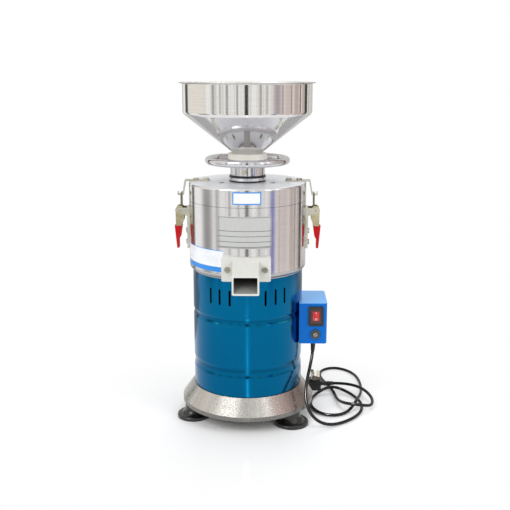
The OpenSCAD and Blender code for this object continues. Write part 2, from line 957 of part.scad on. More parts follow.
module stone_carrier() {
    color("silver")
        difference() {
            rod(carrier_r, carrier_z0, stone_z0);
            rod(shaft_r + fit_gap, carrier_z0 - cut, carrier_z0 + carrier_t / 2 + fit_gap);
            rod(thread_r + fit_gap, carrier_z0, stone_z0 + cut);
        }
}

module lower_stone() {
    color("darkslategray")
        difference() {
            rod(stone_r, stone_z0, lower_stone_z1);
            rod(thread_r + fit_gap, stone_z0 - cut, lower_stone_z1);
            rod(stone_recess_r, nut_z0, lower_stone_z1 + cut);
        }
}

module stone_nut() {
    color("gold")
        difference() {
            union() {
                rod(nut_flange_r, nut_z0, nut_z0 + nut_flange_t);
                translate([0, 0, nut_z0])
                    cylinder(r = nut_r, h = nut_h, $fn = 6);
            }
            rod(thread_r + fit_gap, nut_z0 - cut, nut_z0 + nut_h + cut);
        }
}

module separator_basket() {
    wall_r0 = basket_r - basket_t;
    rim_r0 = basket_rim_r - basket_t;
    color("lightgray")
        difference() {
            rotate_extrude()
                polygon([
                    [shaft_r + fit_gap, basket_z0], [basket_r, basket_z0],
                    [basket_rim_r, basket_z1], [basket_rim_r + basket_flange_w, basket_z1],
                    [basket_rim_r + basket_flange_w, basket_z1 + basket_t],
                    [rim_r0, basket_z1 + basket_t], [wall_r0, carrier_z0],
                    [shaft_r + fit_gap, carrier_z0]
                ]);
            for (i = [0 : basket_slots - 1])
                turned(i * 360 / basket_slots)
                    translate([-basket_slot_w / 2, -basket_rim_r - cut, basket_slot_z])
                        cube([basket_slot_w, basket_rim_r - carrier_r, basket_slot_h]);
        }
}

module lid_gasket() {
    color("dimgray")
        tube(drum_bore_r - fit_gap, drum_bore_r - gasket_t, seam_z - gasket_h / 2, seam_z + gasket_h);
}

// Half section of the lid with a round upper edge
module lid_section() {
    difference() {
        union() {
            square([drum_r, lid_z1 - lid_edge_r - lid_z0]);
            square([drum_r - lid_edge_r, lid_z1 - lid_z0]);
            translate([drum_r - lid_edge_r, lid_z1 - lid_edge_r - lid_z0])
                circle(r = lid_edge_r);
        }
        translate([0, -cut])
            square([drum_bore_r, lid_top_z0 - lid_z0 + cut]);
        square([boss_r + fit_gap, lid_z1]);
    }
}

// A countersunk screw along -Z with its head's top at the origin; its hole is larger by grow and runs past the top
module csk_screw(grow) {
    over = grow > 0 ? cut : 0;
    flare = (csk_r - csk_shank_r) / csk_h;
    translate([0, 0, -csk_h])
        cylinder(r1 = csk_shank_r + grow, r2 = csk_r + grow + over * flare, h = csk_h + over);
    rod(csk_shank_r + grow, -csk_len - grow, -csk_h + grow);
}

module at_lid_screws() {
    for (i = [0 : 2])
        turned(lid_screw_first + i * 120)
            translate([0, -lid_screw_circle_r, lid_z1])
                children();
}

module lid() {
    color("gainsboro")
        difference() {
            translate([0, 0, lid_z0])
                rotate_extrude()
                    lid_section();
            at_lid_screws()
                csk_screw(fit_gap);
            for (s = [-1, 1], x = catch_screw_x)
                translate([s * x, 0, 0])
                    rod(screw_r + fit_gap, lid_top_z0 - cut, lid_z1 + cut);
        }
}

module lid_screws() {
    color("gray")
        at_lid_screws()
            difference() {
                csk_screw(0);
                for (a = [0, 90])
                    rotate([0, 0, a])
                        translate([-csk_r / 2, -screw_slot_w / 2, -screw_slot_d])
                            cube([csk_r, screw_slot_w, screw_slot_d + cut]);
            }
}

module lid_boss() {
    color("silver")
        difference() {
            union() {
                rod(boss_flange_r, lid_top_z0 - boss_flange_t, lid_top_z0);
                rod(boss_r, boss_z0, boss_z1);
            }
            rod(sleeve_r + run_gap, boss_z0 - cut, boss_z1 + cut);
            at_lid_screws()
                csk_screw(fit_gap);
        }
}

module boss_ring() {
    color("silver")
        tube(boss_ring_r, boss_r + fit_gap, boss_seal_z1, boss_z1);
}

// The rubber rings below and above the boss ring
module neck_seals() {
    color("dimgray") {
        tube(boss_seal_r, boss_r + fit_gap, lid_z1, boss_seal_z1);
        tube(boss_seal_r, dust_ring_r0, boss_z1, dust_ring_z1);
    }
}

// The strap's outline from the lid's top to the hook
module catch_outline() {
    floor_z1 = hook_z - hook_bar_r - trough_gap;
    floor_z0 = floor_z1 - catch_t;
    plate_out = hook_x - hook_plate_gap;
    lip_in = hook_x + hook_lip_gap;
    lip_z1 = hook_z + hook_lip_h;
    polygon([
        [catch_x0, lid_z1], [catch_bend_x, lid_z1], [plate_out - catch_t, floor_z0],
        [lip_in + catch_t, floor_z0], [lip_in + catch_t, lip_z1], [lip_in, lip_z1],
        [lip_in, floor_z1], [plate_out, floor_z1], [catch_bend_x + catch_t, lid_z1 + catch_t],
        [catch_x0, lid_z1 + catch_t]
    ]);
}

module catch() {
    color("lightgray")
        difference() {
            union() {
                slab_xz(tongue_half_w)
                    catch_outline();
                slab_xz(catch_half_w)
                    intersection() {
                        catch_outline();
                        translate([catch_x0 - cut, tongue_z1])
                            square([hook_x - catch_x0, lid_z1]);
                    }
            }
            for (x = catch_screw_x)
                translate([x, 0, 0])
                    rod(screw_r + fit_gap, lid_z1 - cut, lid_z1 + catch_t + cut);
        }
}

module catch_right() {
    catch();
}

module catch_left() {
    mirror([1, 0, 0])
        catch();
}

module catch_screws() {
    color("gray")
        for (s = [-1, 1], x = catch_screw_x)
            translate([s * x, 0, lid_z1 + catch_t])
                pan_screw(catch_t + lid_top_t + 2);
}

module latch_base() {
    color("lightgray")
        difference() {
            union() {
                translate([drum_r - latch_half_w, -latch_half_w, latch_z0])
                    cube([plate_x - drum_r + latch_half_w, 2 * latch_half_w, latch_z1 - latch_z0]);
                cheeks_xz(ear_y0, latch_half_w) {
                    translate([pivot_x, pivot_z])
                        circle(r = ear_r);
                    polygon([
                        [drum_r, pivot_z - 2 * ear_r], [plate_x, pivot_z - 2 * ear_r],
                        [pivot_x, pivot_z - ear_r + 0.2], [pivot_x, pivot_z + ear_r - 0.2],
                        [drum_r, pivot_z + ear_r - 0.2]
                    ]);
                }
                cheeks_xz(cheek_y0, ear_y0 + cut)
                    translate([pivot_x, pivot_z])
                        circle(r = latch_pin_r);
            }
            rod(drum_r + fit_gap, latch_z0 - cut, latch_z1 + cut);
            for (z = latch_screw_z)
                rod_x(screw_r + fit_gap, drum_r - cut, plate_x + cut, 0, z);
        }
}

module latch_base_right() {
    latch_base();
}

module latch_base_left() {
    mirror([1, 0, 0])
        latch_base();
}

module latch_screws() {
    color("gray")
        for (s = [0, 1], z = latch_screw_z)
            mirror([s, 0, 0])
                translate([plate_x, 0, z])
                    rotate([0, 90, 0])
                        pan_screw(plate_x - drum_bore_r + 2);
}

module latch_lever() {
    color("lightgray") {
        cheeks_xz(cheek_y0, cheek_y1)
            difference() {
                union() {
                    translate([pivot_x, pivot_z])
                        circle(r = lever_r);
                    polygon([
                        [pivot_x - lever_r + 0.2, pivot_z], [bail_pin_x - ear_r, bail_pin_z],
                        [grip_top[0] + 1, grip_z1], [lever_x1, grip_z1], [pivot_x + lever_r - 0.2, pivot_z]
                    ]);
                }
                translate([pivot_x, pivot_z])
                    circle(r = latch_pin_r + run_gap);
            }
        slab_xz(cheek_y0 + cut)
            translate([bail_pin_x, bail_pin_z])
                circle(r = latch_pin_r);
        slab_xz(cheek_y0 + cut)
            translate([grip_top[0] + cut, grip_z1])
                square([lever_x1 - grip_top[0] - 2 * cut, web_z1 - grip_z1]);
        slab_xz(tang_half_w)
            translate([tang[0], tang_z0])
                square([tang[1] - tang[0], grip_z1 - tang_z0 + cut]);
    }
}

module latch_lever_right() {
    latch_lever();
}

module latch_lever_left() {
    mirror([1, 0, 0])
        latch_lever();
}

module latch_grip() {
    color("red")
        difference() {
            slab_xz(grip_half_w)
                polygon([
                    [grip_top[0], grip_z1], [grip_waist[0], grip_waist[1]], [grip_tip[0], grip_tail_z],
                    [grip_tip[0], grip_z0], [grip_tip[1], grip_z0], [grip_top[1], grip_z1]
                ]);
            slab_xz(tang_half_w + fit_gap)
                translate([tang[0] - fit_gap, tang_z0 - fit_gap])
                    square([tang[1] - tang[0] + 2 * fit_gap, grip_z1 - tang_z0 + cut]);
        }
}

module latch_grip_right() {
    latch_grip();
}

module latch_grip_left() {
    mirror([1, 0, 0])
        latch_grip();
}

module latch_bail() {
    color("lightgray")
        translate([bail_pin_x, 0, bail_pin_z])
            difference() {
                rotate([0, -bail_tilt, 0]) {
                    for (s = [-1, 1])
                        translate([0, s * bail_leg_y, 0]) {
                            rod(bail_wire_r, 0, bail_len);
                            rod_y(eye_r, 0, -eye_half_w, eye_half_w, 0);
                        }
                    rod_y(hook_bar_r, 0, -bail_leg_y - hook_bar_r, bail_leg_y + hook_bar_r, bail_len);
                }
                rod_y(latch_pin_r + run_gap, 0, -latch_half_w, latch_half_w, 0);
            }
}

module latch_bail_right() {
    latch_bail();
}

module latch_bail_left() {
    mirror([1, 0, 0])
        latch_bail();
}

module feed_sleeve() {
    color("silver")
        tube(sleeve_r, sleeve_bore_r, holder_z1, hub_z1);
}

module upper_stone_holder() {
    color("silver")
        tube(holder_r, sleeve_bore_r, upper_stone_z1, holder_z1);
}

module upper_stone() {
    color("darkslategray")
        difference() {
            tube(stone_r, sleeve_bore_r, upper_stone_z0, upper_stone_z1);
            translate([0, 0, upper_stone_z0])
                cylinder(r1 = stone_mouth_r, r2 = sleeve_bore_r, h = stone_mouth_h);
        }
}

module handwheel() {
    color("lightgray")
        difference() {
            union() {
                rod(hub_r, hub_z0, hub_z1);
                translate([0, 0, wheel_z])
                    rotate_extrude()
                        translate([wheel_r, 0])
                            circle(r = wheel_tube_r);
                for (i = [0 : spoke_count - 1])
                    turned(i * 360 / spoke_count)
                        translate([-spoke_w / 2, -wheel_r, spoke_z - spoke_t / 2])
                            cube([spoke_w, wheel_r - sleeve_r - cut, spoke_t]);
            }
            rod(sleeve_r + fit_gap, hub_z0 - cut, hub_z1 + cut);
            turned(lock_screw_angle) {
                rod_y(lock_screw_r + fit_gap, 0, -hub_r - cut, 0, lock_screw_z);
                rod_y(lock_head_r + fit_gap, 0, -hub_r - cut, -lock_spot_r, lock_screw_z);
            }
            turned(hub_slot_angle)
                translate([-hub_slot_w / 2, -hub_r - cut, hub_z0 - cut])
                    cube([hub_slot_w, hub_r - sleeve_r + 2 * cut, hub_slot_h + cut]);
        }
}

module lock_screw() {
    color("gray")
        turned(lock_screw_angle)
            difference() {
                union() {
                    rod_y(lock_screw_r, 0, -lock_spot_r, -sleeve_r - fit_gap, lock_screw_z);
                    rod_y(lock_head_r, 0, -lock_spot_r - lock_head_h, -lock_spot_r, lock_screw_z);
                }
                translate([-lock_head_r, -lock_spot_r - lock_head_h - cut, lock_screw_z - screw_slot_w / 2])
                    cube([2 * lock_head_r, screw_slot_d + cut, screw_slot_w]);
            }
}

module hopper_collar() {
    color("white")
        rotate_extrude()
            polygon([
                [collar_bore_r, collar_spigot_z0], [collar_spigot_r, collar_spigot_z0],
                [collar_spigot_r, collar_z0], [collar_r, collar_z0], [collar_r, collar_z1],
                [hopper_neck_r + move_gap, collar_z1], [hopper_neck_r + move_gap, collar_socket_z],
                [hopper_neck_r - hopper_t, collar_socket_z], [collar_bore_r, collar_z0]
            ]);
}

module hopper() {
    wall_r = hopper_r - hopper_t;
    neck_r0 = hopper_neck_r - hopper_t;
    color("lightgray")
        rotate_extrude()
            polygon([
                [neck_r0, hopper_spigot_z], [hopper_neck_r, hopper_spigot_z],
                [hopper_neck_r, hopper_neck_z], [hopper_r, hopper_cone_z],
                [hopper_r, hopper_z1 - hopper_t], [hopper_r + hopper_rim_w, hopper_z1 - hopper_t],
                [hopper_r + hopper_rim_w, hopper_z1], [wall_r, hopper_z1],
                [wall_r, hopper_cone_z + hopper_t_z], [neck_r0, hopper_neck_z + hopper_t_z]
            ]);
}

// The box from above, from x0 outwards, smaller by inset: its two outer upright edges are bent round
module box_plan(x0, inset) {
    bend_x = box_x1 - box_bend_r;
    bend_y = box_y - box_bend_r;
    translate([x0, inset - box_y])
        square([bend_x - x0, 2 * (box_y - inset)]);
    translate([x0, -bend_y])
        square([box_x1 - inset - x0, 2 * bend_y]);
    for (s = [-1, 1])
        translate([bend_x, s * bend_y])
            circle(r = box_bend_r - inset);
}

module control_box() {
    color("royalblue")
        difference() {
            translate([0, 0, box_z0])
                linear_extrude(height = box_h)
                    box_plan(box_x0, 0);
            translate([0, 0, box_z0 + box_t])
                linear_extrude(height = box_h - 2 * box_t)
                    box_plan(box_x0 + box_t, box_t);
            rod(housing_r + fit_gap, box_z0 - cut, box_z1 + cut);
            translate([switch_x - switch_body_w / 2 - fit_gap, -box_y - cut,
                switch_z - switch_body_h / 2 - fit_gap])
                cube([switch_body_w + 2 * fit_gap, box_t + 2 * cut, switch_body_h + 2 * fit_gap]);
            rod_y(reset_body_r + fit_gap, reset_x, -box_y - cut, box_t + cut - box_y, reset_z);
            translate([gland_x, gland_y, 0])
                rod(gland_neck_r + fit_gap, box_z0 - cut, box_z0 + box_t + cut);
        }
}

module switch_frame() {
    color("dimgray")
        difference() {
            union() {
                translate([switch_x, -box_y, switch_z])
                    rotate([90, 0, 0])
                        linear_extrude(height = bezel_t)
                            round_rect(bezel_w, bezel_h, bezel_edge_r);
                translate([switch_x - switch_body_w / 2, -box_y - cut, switch_z - switch_body_h / 2])
                    cube([switch_body_w, switch_body_d + cut, switch_body_h]);
            }
            translate([switch_x - rocker_w / 2 - move_gap, -box_y - bezel_t - cut,
                switch_z - rocker_r - move_gap])
                cube([rocker_w + 2 * move_gap, bezel_t + rocker_well_d + cut, 2 * (rocker_r + move_gap)]);
            rod_x(rocker_pin_r + run_gap, switch_x - rocker_w / 2 - rocker_pin_len - move_gap,
                switch_x + rocker_w / 2 + rocker_pin_len + move_gap, rocker_y, switch_z);
        }
}

// The rocker's side outline: two faces that meet at the front, round ends, flat back
module rocker_outline() {
    drop = rocker_r * tan(rocker_wedge);
    intersection() {
        circle(r = rocker_r);
        polygon([
            [rocker_front, 0], [rocker_front - drop, rocker_r], [-rocker_back, rocker_r],
            [-rocker_back, -rocker_r], [rocker_front - drop, -rocker_r]
        ]);
    }
}

module switch_rocker() {
    color("red")
        translate([switch_x, rocker_y, switch_z]) {
            rotate([-rocker_wedge, 0, 0])
                translate([-rocker_w / 2, 0, 0])
                    rotate([90, 0, 90])
                        linear_extrude(height = rocker_w)
                            mirror([1, 0])
                                rocker_outline();
            rod_x(rocker_pin_r, -rocker_w / 2 - rocker_pin_len, rocker_w / 2 + rocker_pin_len, 0, 0);
        }
}

module overload_protector() {
    color("dimgray")
        difference() {
            union() {
                rod_y(reset_ring_r, reset_x, -box_y - reset_ring_t, -box_y, reset_z);
                rod_y(reset_body_r, reset_x, -box_y - cut, reset_body_d - box_y, reset_z);
            }
            rod_y(reset_button_r + move_gap, reset_x, -box_y - reset_ring_t - cut,
                reset_len + reset_travel - reset_ring_t - box_y, reset_z);
        }
}

module reset_button() {
    color("gray")
        rod_y(reset_button_r, reset_x, -box_y - reset_ring_t - reset_out,
            reset_len - reset_ring_t - reset_out - box_y, reset_z);
}

module cord_gland() {
    color("dimgray")
        translate([gland_x, gland_y, 0])
            difference() {
                union() {
                    translate([0, 0, box_z0 - gland_h])
                        cylinder(h = gland_h, r1 = gland_tip_r, r2 = gland_r);
                    rod(gland_neck_r, box_z0 - cut, box_z0 + gland_neck_h);
                }
                rod(gland_bore_r, box_z0, box_z0 + gland_neck_h + cut);
            }
}

// Route point i, carried on in a straight line past both ends
function route_at(i) =
    i < 0 ? 2 * cord_route[0] - cord_route[1] :
    i >= len(cord_route) ? 2 * cord_route[len(cord_route) - 1] - cord_route[len(cord_route) - 2] :
    cord_route[i];

// Point of the smooth curve along the route, t of the way from point i to the next
function curve_at(i, t) =
    let (a = route_at(i - 1), b = route_at(i), c = route_at(i + 1), d = route_at(i + 2), u = 1 - t)
    (u * u * u * a + (3 * t * t * t - 6 * t * t + 4) * b
        + (3 * u * u * u - 6 * u * u + 4) * c + t * t * t * d) / 6;

cord_line = [
    for (i = [0 : len(cord_route) - 2], k = [0 : cord_steps - 1]) curve_at(i, k / cord_steps),
    plug_end
];
cord_last = len(cord_line) - 1;

function unit(v) = v / norm(v);

// Direction of the cord at ring i
function heading(i) =
    i == 0 ? unit(cord_route[1] - cord_route[0]) :
    i == cord_last ? unit(plug_end - cord_route[len(cord_route) - 2]) :
    unit(cord_line[i + 1] - cord_line[i - 1]);

// A direction square to the cord, carried from ring to ring so that the tube doesn't twist
function side_from(i, last) = unit(last - (last * heading(i)) * heading(i));
cord_sides_at = [
    for (i = 0, s = [1, 0, 0]; i <= cord_last; i = i + 1, s = i > cord_last ? s : side_from(i, s)) s
];

function ring_at(i) = [
    for (k = [0 : cord_sides - 1])
        let (a = 360 * k / cord_sides)
        cord_line[i] + cord_d / 2 * (cos(a) * cord_sides_at[i] + sin(a) * cross(heading(i), cord_sides_at[i]))
];

cord_length = [for (i = 0, s = 0; i <= cord_last; i = i + 1,
    s = i > cord_last ? s : s + norm(cord_line[i] - cord_line[i - 1])) s][cord_last];
cord_gap = min([
    for (i = [0 : cord_last - 4], k = [i + 4 : cord_last]) norm(cord_line[i] - cord_line[k]) - cord_d
]);
echo(cord_length = cord_length, cord_gap = cord_gap);

module power_cord() {
    points = [for (i = [0 : cord_last]) each ring_at(i)];
    side_faces = [
        for (i = [0 : cord_last - 1], k = [0 : cord_sides - 1])
            let (a = i * cord_sides + k, b = i * cord_sides + (k + 1) % cord_sides)
            each [[a, b, b + cord_sides], [a, b + cord_sides, a + cord_sides]]
    ];
    first_cap = [for (k = [cord_sides - 1 : -1 : 0]) k];
    last_cap = [for (k = [0 : cord_sides - 1]) cord_last * cord_sides + k];
    color("dimgray")
        polyhedron(points = points, faces = [for (f = concat([first_cap], side_faces, [last_cap]))
            [for (k = [len(f) - 1 : -1 : 0]) f[k]]], convexity = 10);
}

// The moulded plug lies on its back with its pins up, the strain relief towards the cord
module plug() {
    color("dimgray") {
        translate([plug_x, plug_end[1], 0])
            linear_extrude(height = plug_h)
                round_rect(plug_len, plug_w, plug_edge_r);
        translate([plug_x, plug_end[1], 0])
            rod(plug_nose_r, plug_h - cut, plug_h + plug_nose_h);
        rod_x(cord_d / 2 + cut / 2, plug_end[0] - relief_len - cut, plug_end[0], plug_end[1], plug_end[2]);
        for (i = [0 : relief_ribs - 1])
            rod_x(relief_r, plug_end[0] - relief_len * (i + 0.9) / relief_ribs,
                plug_end[0] - relief_len * (i + 0.3) / relief_ribs, plug_end[1], plug_end[2]);
    }
}

module plug_pins() {
    color("gold")
        translate([plug_x, plug_end[1], plug_h + plug_nose_h])
            for (pin = [[0, 90], [120, 90 - pin_tilt], [240, 90 + pin_tilt]])
                translate([pin_place_r * cos(pin[0]), pin_place_r * sin(pin[0]), 0])
                    rotate([0, 0, pin[1]])
                        translate([-pin_t / 2, -pin_w / 2, 0])
                            cube([pin_t, pin_w, pin_len]);
}

placed() base_casting();
placed() foot_left();
placed() foot_right();
placed() foot_rear();
placed() foot_bolts();
placed() motor_housing();
placed() motor_top_shield();
placed() stator_core();
placed() stator_windings();
placed() lower_bearing();
placed() upper_bearing();
placed() motor_shaft();
placed() rotor_core();
placed() cooling_fan();
placed() drum();
placed() shaft_seal();
placed() milk_ring();
placed() milk_spout();
placed() chute();
placed() chute_screws();
placed() name_plate();
placed() badge_plate();
placed() stone_carrier();
placed() lower_stone();
placed() stone_nut();
placed() separator_basket();
placed() lid_gasket();
placed() lid();
placed() lid_boss();
placed() lid_screws();
placed() boss_ring();
placed() neck_seals();
placed() catch_left();
placed() catch_right();
placed() catch_screws();
placed() latch_base_left();
placed() latch_base_right();
placed() latch_screws();
placed() latch_lever_left();
placed() latch_lever_right();
placed() latch_grip_left();
placed() latch_grip_right();
placed() latch_bail_left();
placed() latch_bail_right();
placed() feed_sleeve();
placed() upper_stone_holder();
placed() upper_stone();
placed() handwheel();
placed() lock_screw();
placed() hopper_collar();
placed() hopper();
placed() control_box();
placed() switch_frame();
placed() switch_rocker();
placed() overload_protector();
placed() reset_button();
placed() cord_gland();
placed() power_cord();
placed() plug();
placed() plug_pins();
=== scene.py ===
"""Looks of an upright soybean grinder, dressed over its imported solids."""

from math import asin, cos, degrees, pi, radians, sin, tan

import bmesh
import bpy
from mathutils import Matrix, Vector


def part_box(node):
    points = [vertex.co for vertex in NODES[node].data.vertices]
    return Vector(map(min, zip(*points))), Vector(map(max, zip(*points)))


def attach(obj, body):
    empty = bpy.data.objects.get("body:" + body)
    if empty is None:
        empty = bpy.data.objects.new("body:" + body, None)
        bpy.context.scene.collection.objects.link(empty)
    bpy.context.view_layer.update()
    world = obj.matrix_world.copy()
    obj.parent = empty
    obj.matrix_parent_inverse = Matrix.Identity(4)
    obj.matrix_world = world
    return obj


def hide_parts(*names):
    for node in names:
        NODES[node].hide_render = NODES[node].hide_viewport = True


bl_info = {
    "name": "Soybean Grinder Looks",
    "version": (1, 0, 0),
    "blender": (4, 5, 0),
    "location": "3D View > Sidebar > Grinder",
    "description": "Finishes, cord, plates and studio of an upright soybean grinder",
    "category": "Object",
}

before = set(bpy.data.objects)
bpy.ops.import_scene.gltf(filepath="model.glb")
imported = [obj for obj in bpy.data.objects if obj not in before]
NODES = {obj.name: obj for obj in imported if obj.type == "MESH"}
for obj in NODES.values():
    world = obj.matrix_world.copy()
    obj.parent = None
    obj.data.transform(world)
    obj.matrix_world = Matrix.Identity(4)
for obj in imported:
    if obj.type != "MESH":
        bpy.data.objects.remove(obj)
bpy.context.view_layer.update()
MM = 0.001
SHARP_ANGLE = 32
# What noise textures reach in practice
NOISE_RANGE = 0.3, 0.7
BEND_STEPS = 8
# Small lamp for the thin highlight along the cord, which lights nothing else
CORD_LAMP = "cord_lamp"
LIP_HEIGHT = 8 * MM
BADGE_EDGE = 2 * MM
# Sectors of the base with painted shade over its highlight and a painted warm reflection: middle, half and soft
# edge in degrees to the right of the front, and colour
BASE_PAINTED_SECTORS = ((-18, 18, 8, (164, 162, 156)), (-19, 7, 7, (132, 131, 127)), (52, 29, 8, (150, 134, 128)))
# Flat kept beside each bend of the hopper, so that shading doesn't spread from it
HOLD = 0.08 * MM

# Places on the machine as in the part's source, in millimetres where MM isn't on the line
GROOVES = ((109, 10, 0.15), (204, 7, 0.7))
ROCKER_Y = -43
ROCKER_FRONT = 5
ROCKER_WEDGE = radians(10)
PIVOT_X, PIVOT_Z, EAR_Y = 124.2, 391, 13.2
RIVET_R, RIVET_H = 2.7, 0.9
GLAND_SLEEVE, GLAND_TIP = 0.95, 4.4 * MM
PLUG_SLEEVE, PLUG_TIP, SLEEVE_STEPS = 0.7, 4.6 * MM, 26
SPOKE_REACH, SPOKE_Z = 63 * MM, 476 * MM
DUCT_HALF = 20.8 * MM
DUCT_Y, DUCT_Z, DUCT_SLOPE = -150 * MM, 285.8 * MM, tan(radians(25))

# Ruled lines of the name plate: heights, half width and softness, the same for upright ones in degrees, and edges
PLATE_RULES = 370.9, 361.7, 352, 343.3
RULE, RULE_ANGLE = (0.5 * MM, 0.2 * MM), (0.35, 0.15)
PLATE_EDGE, PLATE_EDGE_ANGLE = 1.6 * MM, 1.0
# Label on the drum: its two ends in degrees from the front, and the blue bands below and above
LABEL_ANGLES, LABEL_BANDS = (-78, -22), (9 * MM, 1.2 * MM)
# Marks on the rocker: lower and upper side above its faces, and corners of the ring
MARK_LIFT, RING_SIDES = (0.2, 0.45), 24
# Light marks on the reset button, counted round it
PETALS = 4
# Roughness that the hopper's matt inside and rim have more
HOPPER_MATT = 0.3
# Usual noise scale of soft patches
PATCH_SCALE = 18
# Share of the cells in a casting's skin that have a pit
CAST_PITS = 0.04

# Camera: lens and sensor in millimetres, place with X from the machine's axis, and degrees down and to the left
LENS, SENSOR = 57.04, 36
CAMERA_X, CAMERA_Y, CAMERA_Z = 0.0384, -1.4671, 0.645
CAMERA_DOWN, CAMERA_TURN = 13.05, 0.97

# Light of the world on the set, and the floor's radius and the distances over which it fades to white
WORLD_LIGHT = 0.62
FLOOR_R, FLOOR_FADE = 30, (0.12, 0.36)
# Softboxes: name, place, aim, width and height, and watts
LAMPS = (
    ("key_softbox", (-1.5, -1.7, 1.9), (0, 0, 0.3), (1.1, 1.5), 34),
    ("fill_softbox", (1.8, -1.3, 1.5), (0, 0, 0.3), (1.0, 1.4), 20),
    ("rear_softbox", (0.4, 1.9, 2), (0, 0, 0.35), (1.6, 1.0), 22),
    (CORD_LAMP, (-0.5, -0.8, 1.3), (0.2, 0, 0.02), (0.5, 0.5), 60),
)

# Flags round the set: angle from the front to the right, half width, softness of the edge, heights and tone
RING_R, RING_H = 1.1, 1.6
LOW, HIGH, ALL = (-1.0, 0.36), (0.36, 2), (-1.0, 2)
FLAGS = (
    (-166, 20, 6, ALL, 208, 207, 205), (-127, 7, 4, HIGH, 92, 86, 76), (-126, 6, 3, LOW, 70, 66, 60),
    (-94, 21, 4, HIGH, 242, 236, 230), (-80, 12, 8, LOW, 160, 159, 158), (-57, 2.5, 1.5, ALL, 160, 159, 154),
    (-44, 1.5, 1, HIGH, 176, 178, 170), (-32, 2, 1.5, ALL, 152, 152, 148), (-15, 1.5, 1, ALL, 152, 154, 152),
    (0, 3.2, 1.2, ALL, 62, 64, 64), (23, 2, 1.5, ALL, 172, 170, 168), (34, 1.5, 1, HIGH, 190, 186, 184),
    (48, 5, 2.5, LOW, 116, 112, 182), (52, 8, 7, HIGH, 180, 170, 176), (62, 2, 1.5, ALL, 178, 140, 142),
    (74, 9, 6, ALL, 216, 203, 199), (80, 1.2, 0.8, HIGH, 156, 122, 122), (92, 7, 5, ALL, 198, 180, 174),
    (102, 2, 1, ALL, 120, 88, 82), (110, 3.5, 2, ALL, 202, 184, 176), (120, 6, 3, ALL, 68, 60, 55),
    (133, 3, 2, ALL, 184, 170, 158), (164, 24, 6, ALL, 208, 207, 205),
)

# Cards on the floor: name, middle, width and depth, and strength
FLOOR_CARDS = (
    ("front_card", (0.004, -0.62, 0.0004), (0.011, 0.8), 5),
    ("rear_card", (0.0, 0.82, 0.0004), (1.7, 0.9), 0.4),
)


def middle_of(node):
    """Middle of a CAD node's box."""
    low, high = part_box(node)
    return (low + high) / 2


AXIS = Vector((middle_of("drum").x, middle_of("hopper").y, 0.0))
DRUM_R = (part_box("drum")[1].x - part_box("drum")[0].x) / 2
GLAND = Vector((middle_of("cord_gland").x, middle_of("cord_gland").y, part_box("cord_gland")[0].z))

# Route of the cord in millimetres from the gland's axis and the floor, as in the part's source
CORD_ROUTE = (
    (0, 0, 137), (0, 0, 122), (-4, -14, 103), (-12, -38, 80), (-17, -62, 56), (-11, -80, 32),
    (9, -84, 12), (35, -75, 3.6), (67, -53, 3.6), (92, -21, 3.6), (101, 20, 3.6), (90, 61, 3.6),
    (68, 86, 8), (41, 92, 15), (13, 76, 3.6), (-2, 42, 3.6), (-1, 6, 3.6), (16, -26, 3.6),
    (47, -33, 3.6), (73, -11, 3.6), (90, 24, 16), (101, 64, 6), (107, 106, 3.6), (107, 150, 3.6),
    (98, 194, 3.6), (63, 226, 3.6), (27, 205, 3.6), (24, 162, 3.6), (39, 122, 3.6), (49, 86, 3.6),
    (51, 52, 3.6), (56, 22, 9), (70, -5, 16), (95, -9, 16), (117, 6, 6), (123, 40, 9),
    (108, 76, 15), (83, 101, 14), (56, 111, 11.6), (36, 112, 10.6),
)


def spline_place(points, at):
    """The place on a smooth uniform spline through control points, counted along them."""
    number = min(int(at), len(points) - 4)
    t = at - number
    weights = ((1 - t) ** 3, 3 * t ** 3 - 6 * t ** 2 + 4, -3 * t ** 3 + 3 * t ** 2 + 3 * t + 1, t ** 3)
    return sum((point * weight for point, weight in zip(points[number:number + 4], weights)), Vector()) / 6


def rgb(red, green, blue):
    """A colour written as screen values from 0 to 255, as linear light."""
    def one(value):
        value /= 255
        return value / 12.92 if value <= 0.04045 else ((value + 0.055) / 1.055) ** 2.4
    return one(red), one(green), one(blue)


def hue(name, description, screen):
    """A colour that a user may change."""
    return bpy.props.FloatVectorProperty(
        name=name, description=description, subtype="COLOR", size=3, min=0.0, max=1.0,
        default=rgb(*screen))


def length(name, description, metres):
    """A length that a user may change."""
    return bpy.props.FloatProperty(
        name=name, description=description, subtype="DISTANCE", unit="LENGTH", min=0.0, default=metres)


class GrinderSizes(bpy.types.PropertyGroup):
    """Sizes of the pieces that dress the grinder"""
    cord_diameter: length("Cord diameter", "Thickness of the mains cord", 6 * MM)
    cord_length: length("Cord length", "Length of the mains cord", 1.3106)
    hopper_radius: length("Hopper radius", "Outer radius of the hopper's wall", 116 * MM)
    hopper_sheet: length("Hopper sheet", "Thickness of the hopper's sheet", 1.2 * MM)
    hopper_neck: length("Hopper neck", "Outer radius of the hopper's neck", 27 * MM)
    hopper_bend: length("Hopper bend", "Height of the bend between wall and cone", 566 * MM)
    hopper_neck_height: length("Hopper neck height", "Height at which the cone meets the neck", 496 * MM)
    label_low: length("Label bottom", "Height of the drum label's lower edge", 296 * MM)
    label_high: length("Label top", "Height of the drum label's upper edge", 335 * MM)
    label_thick: length("Label thickness", "Thickness of the drum label's film", 0.2 * MM)


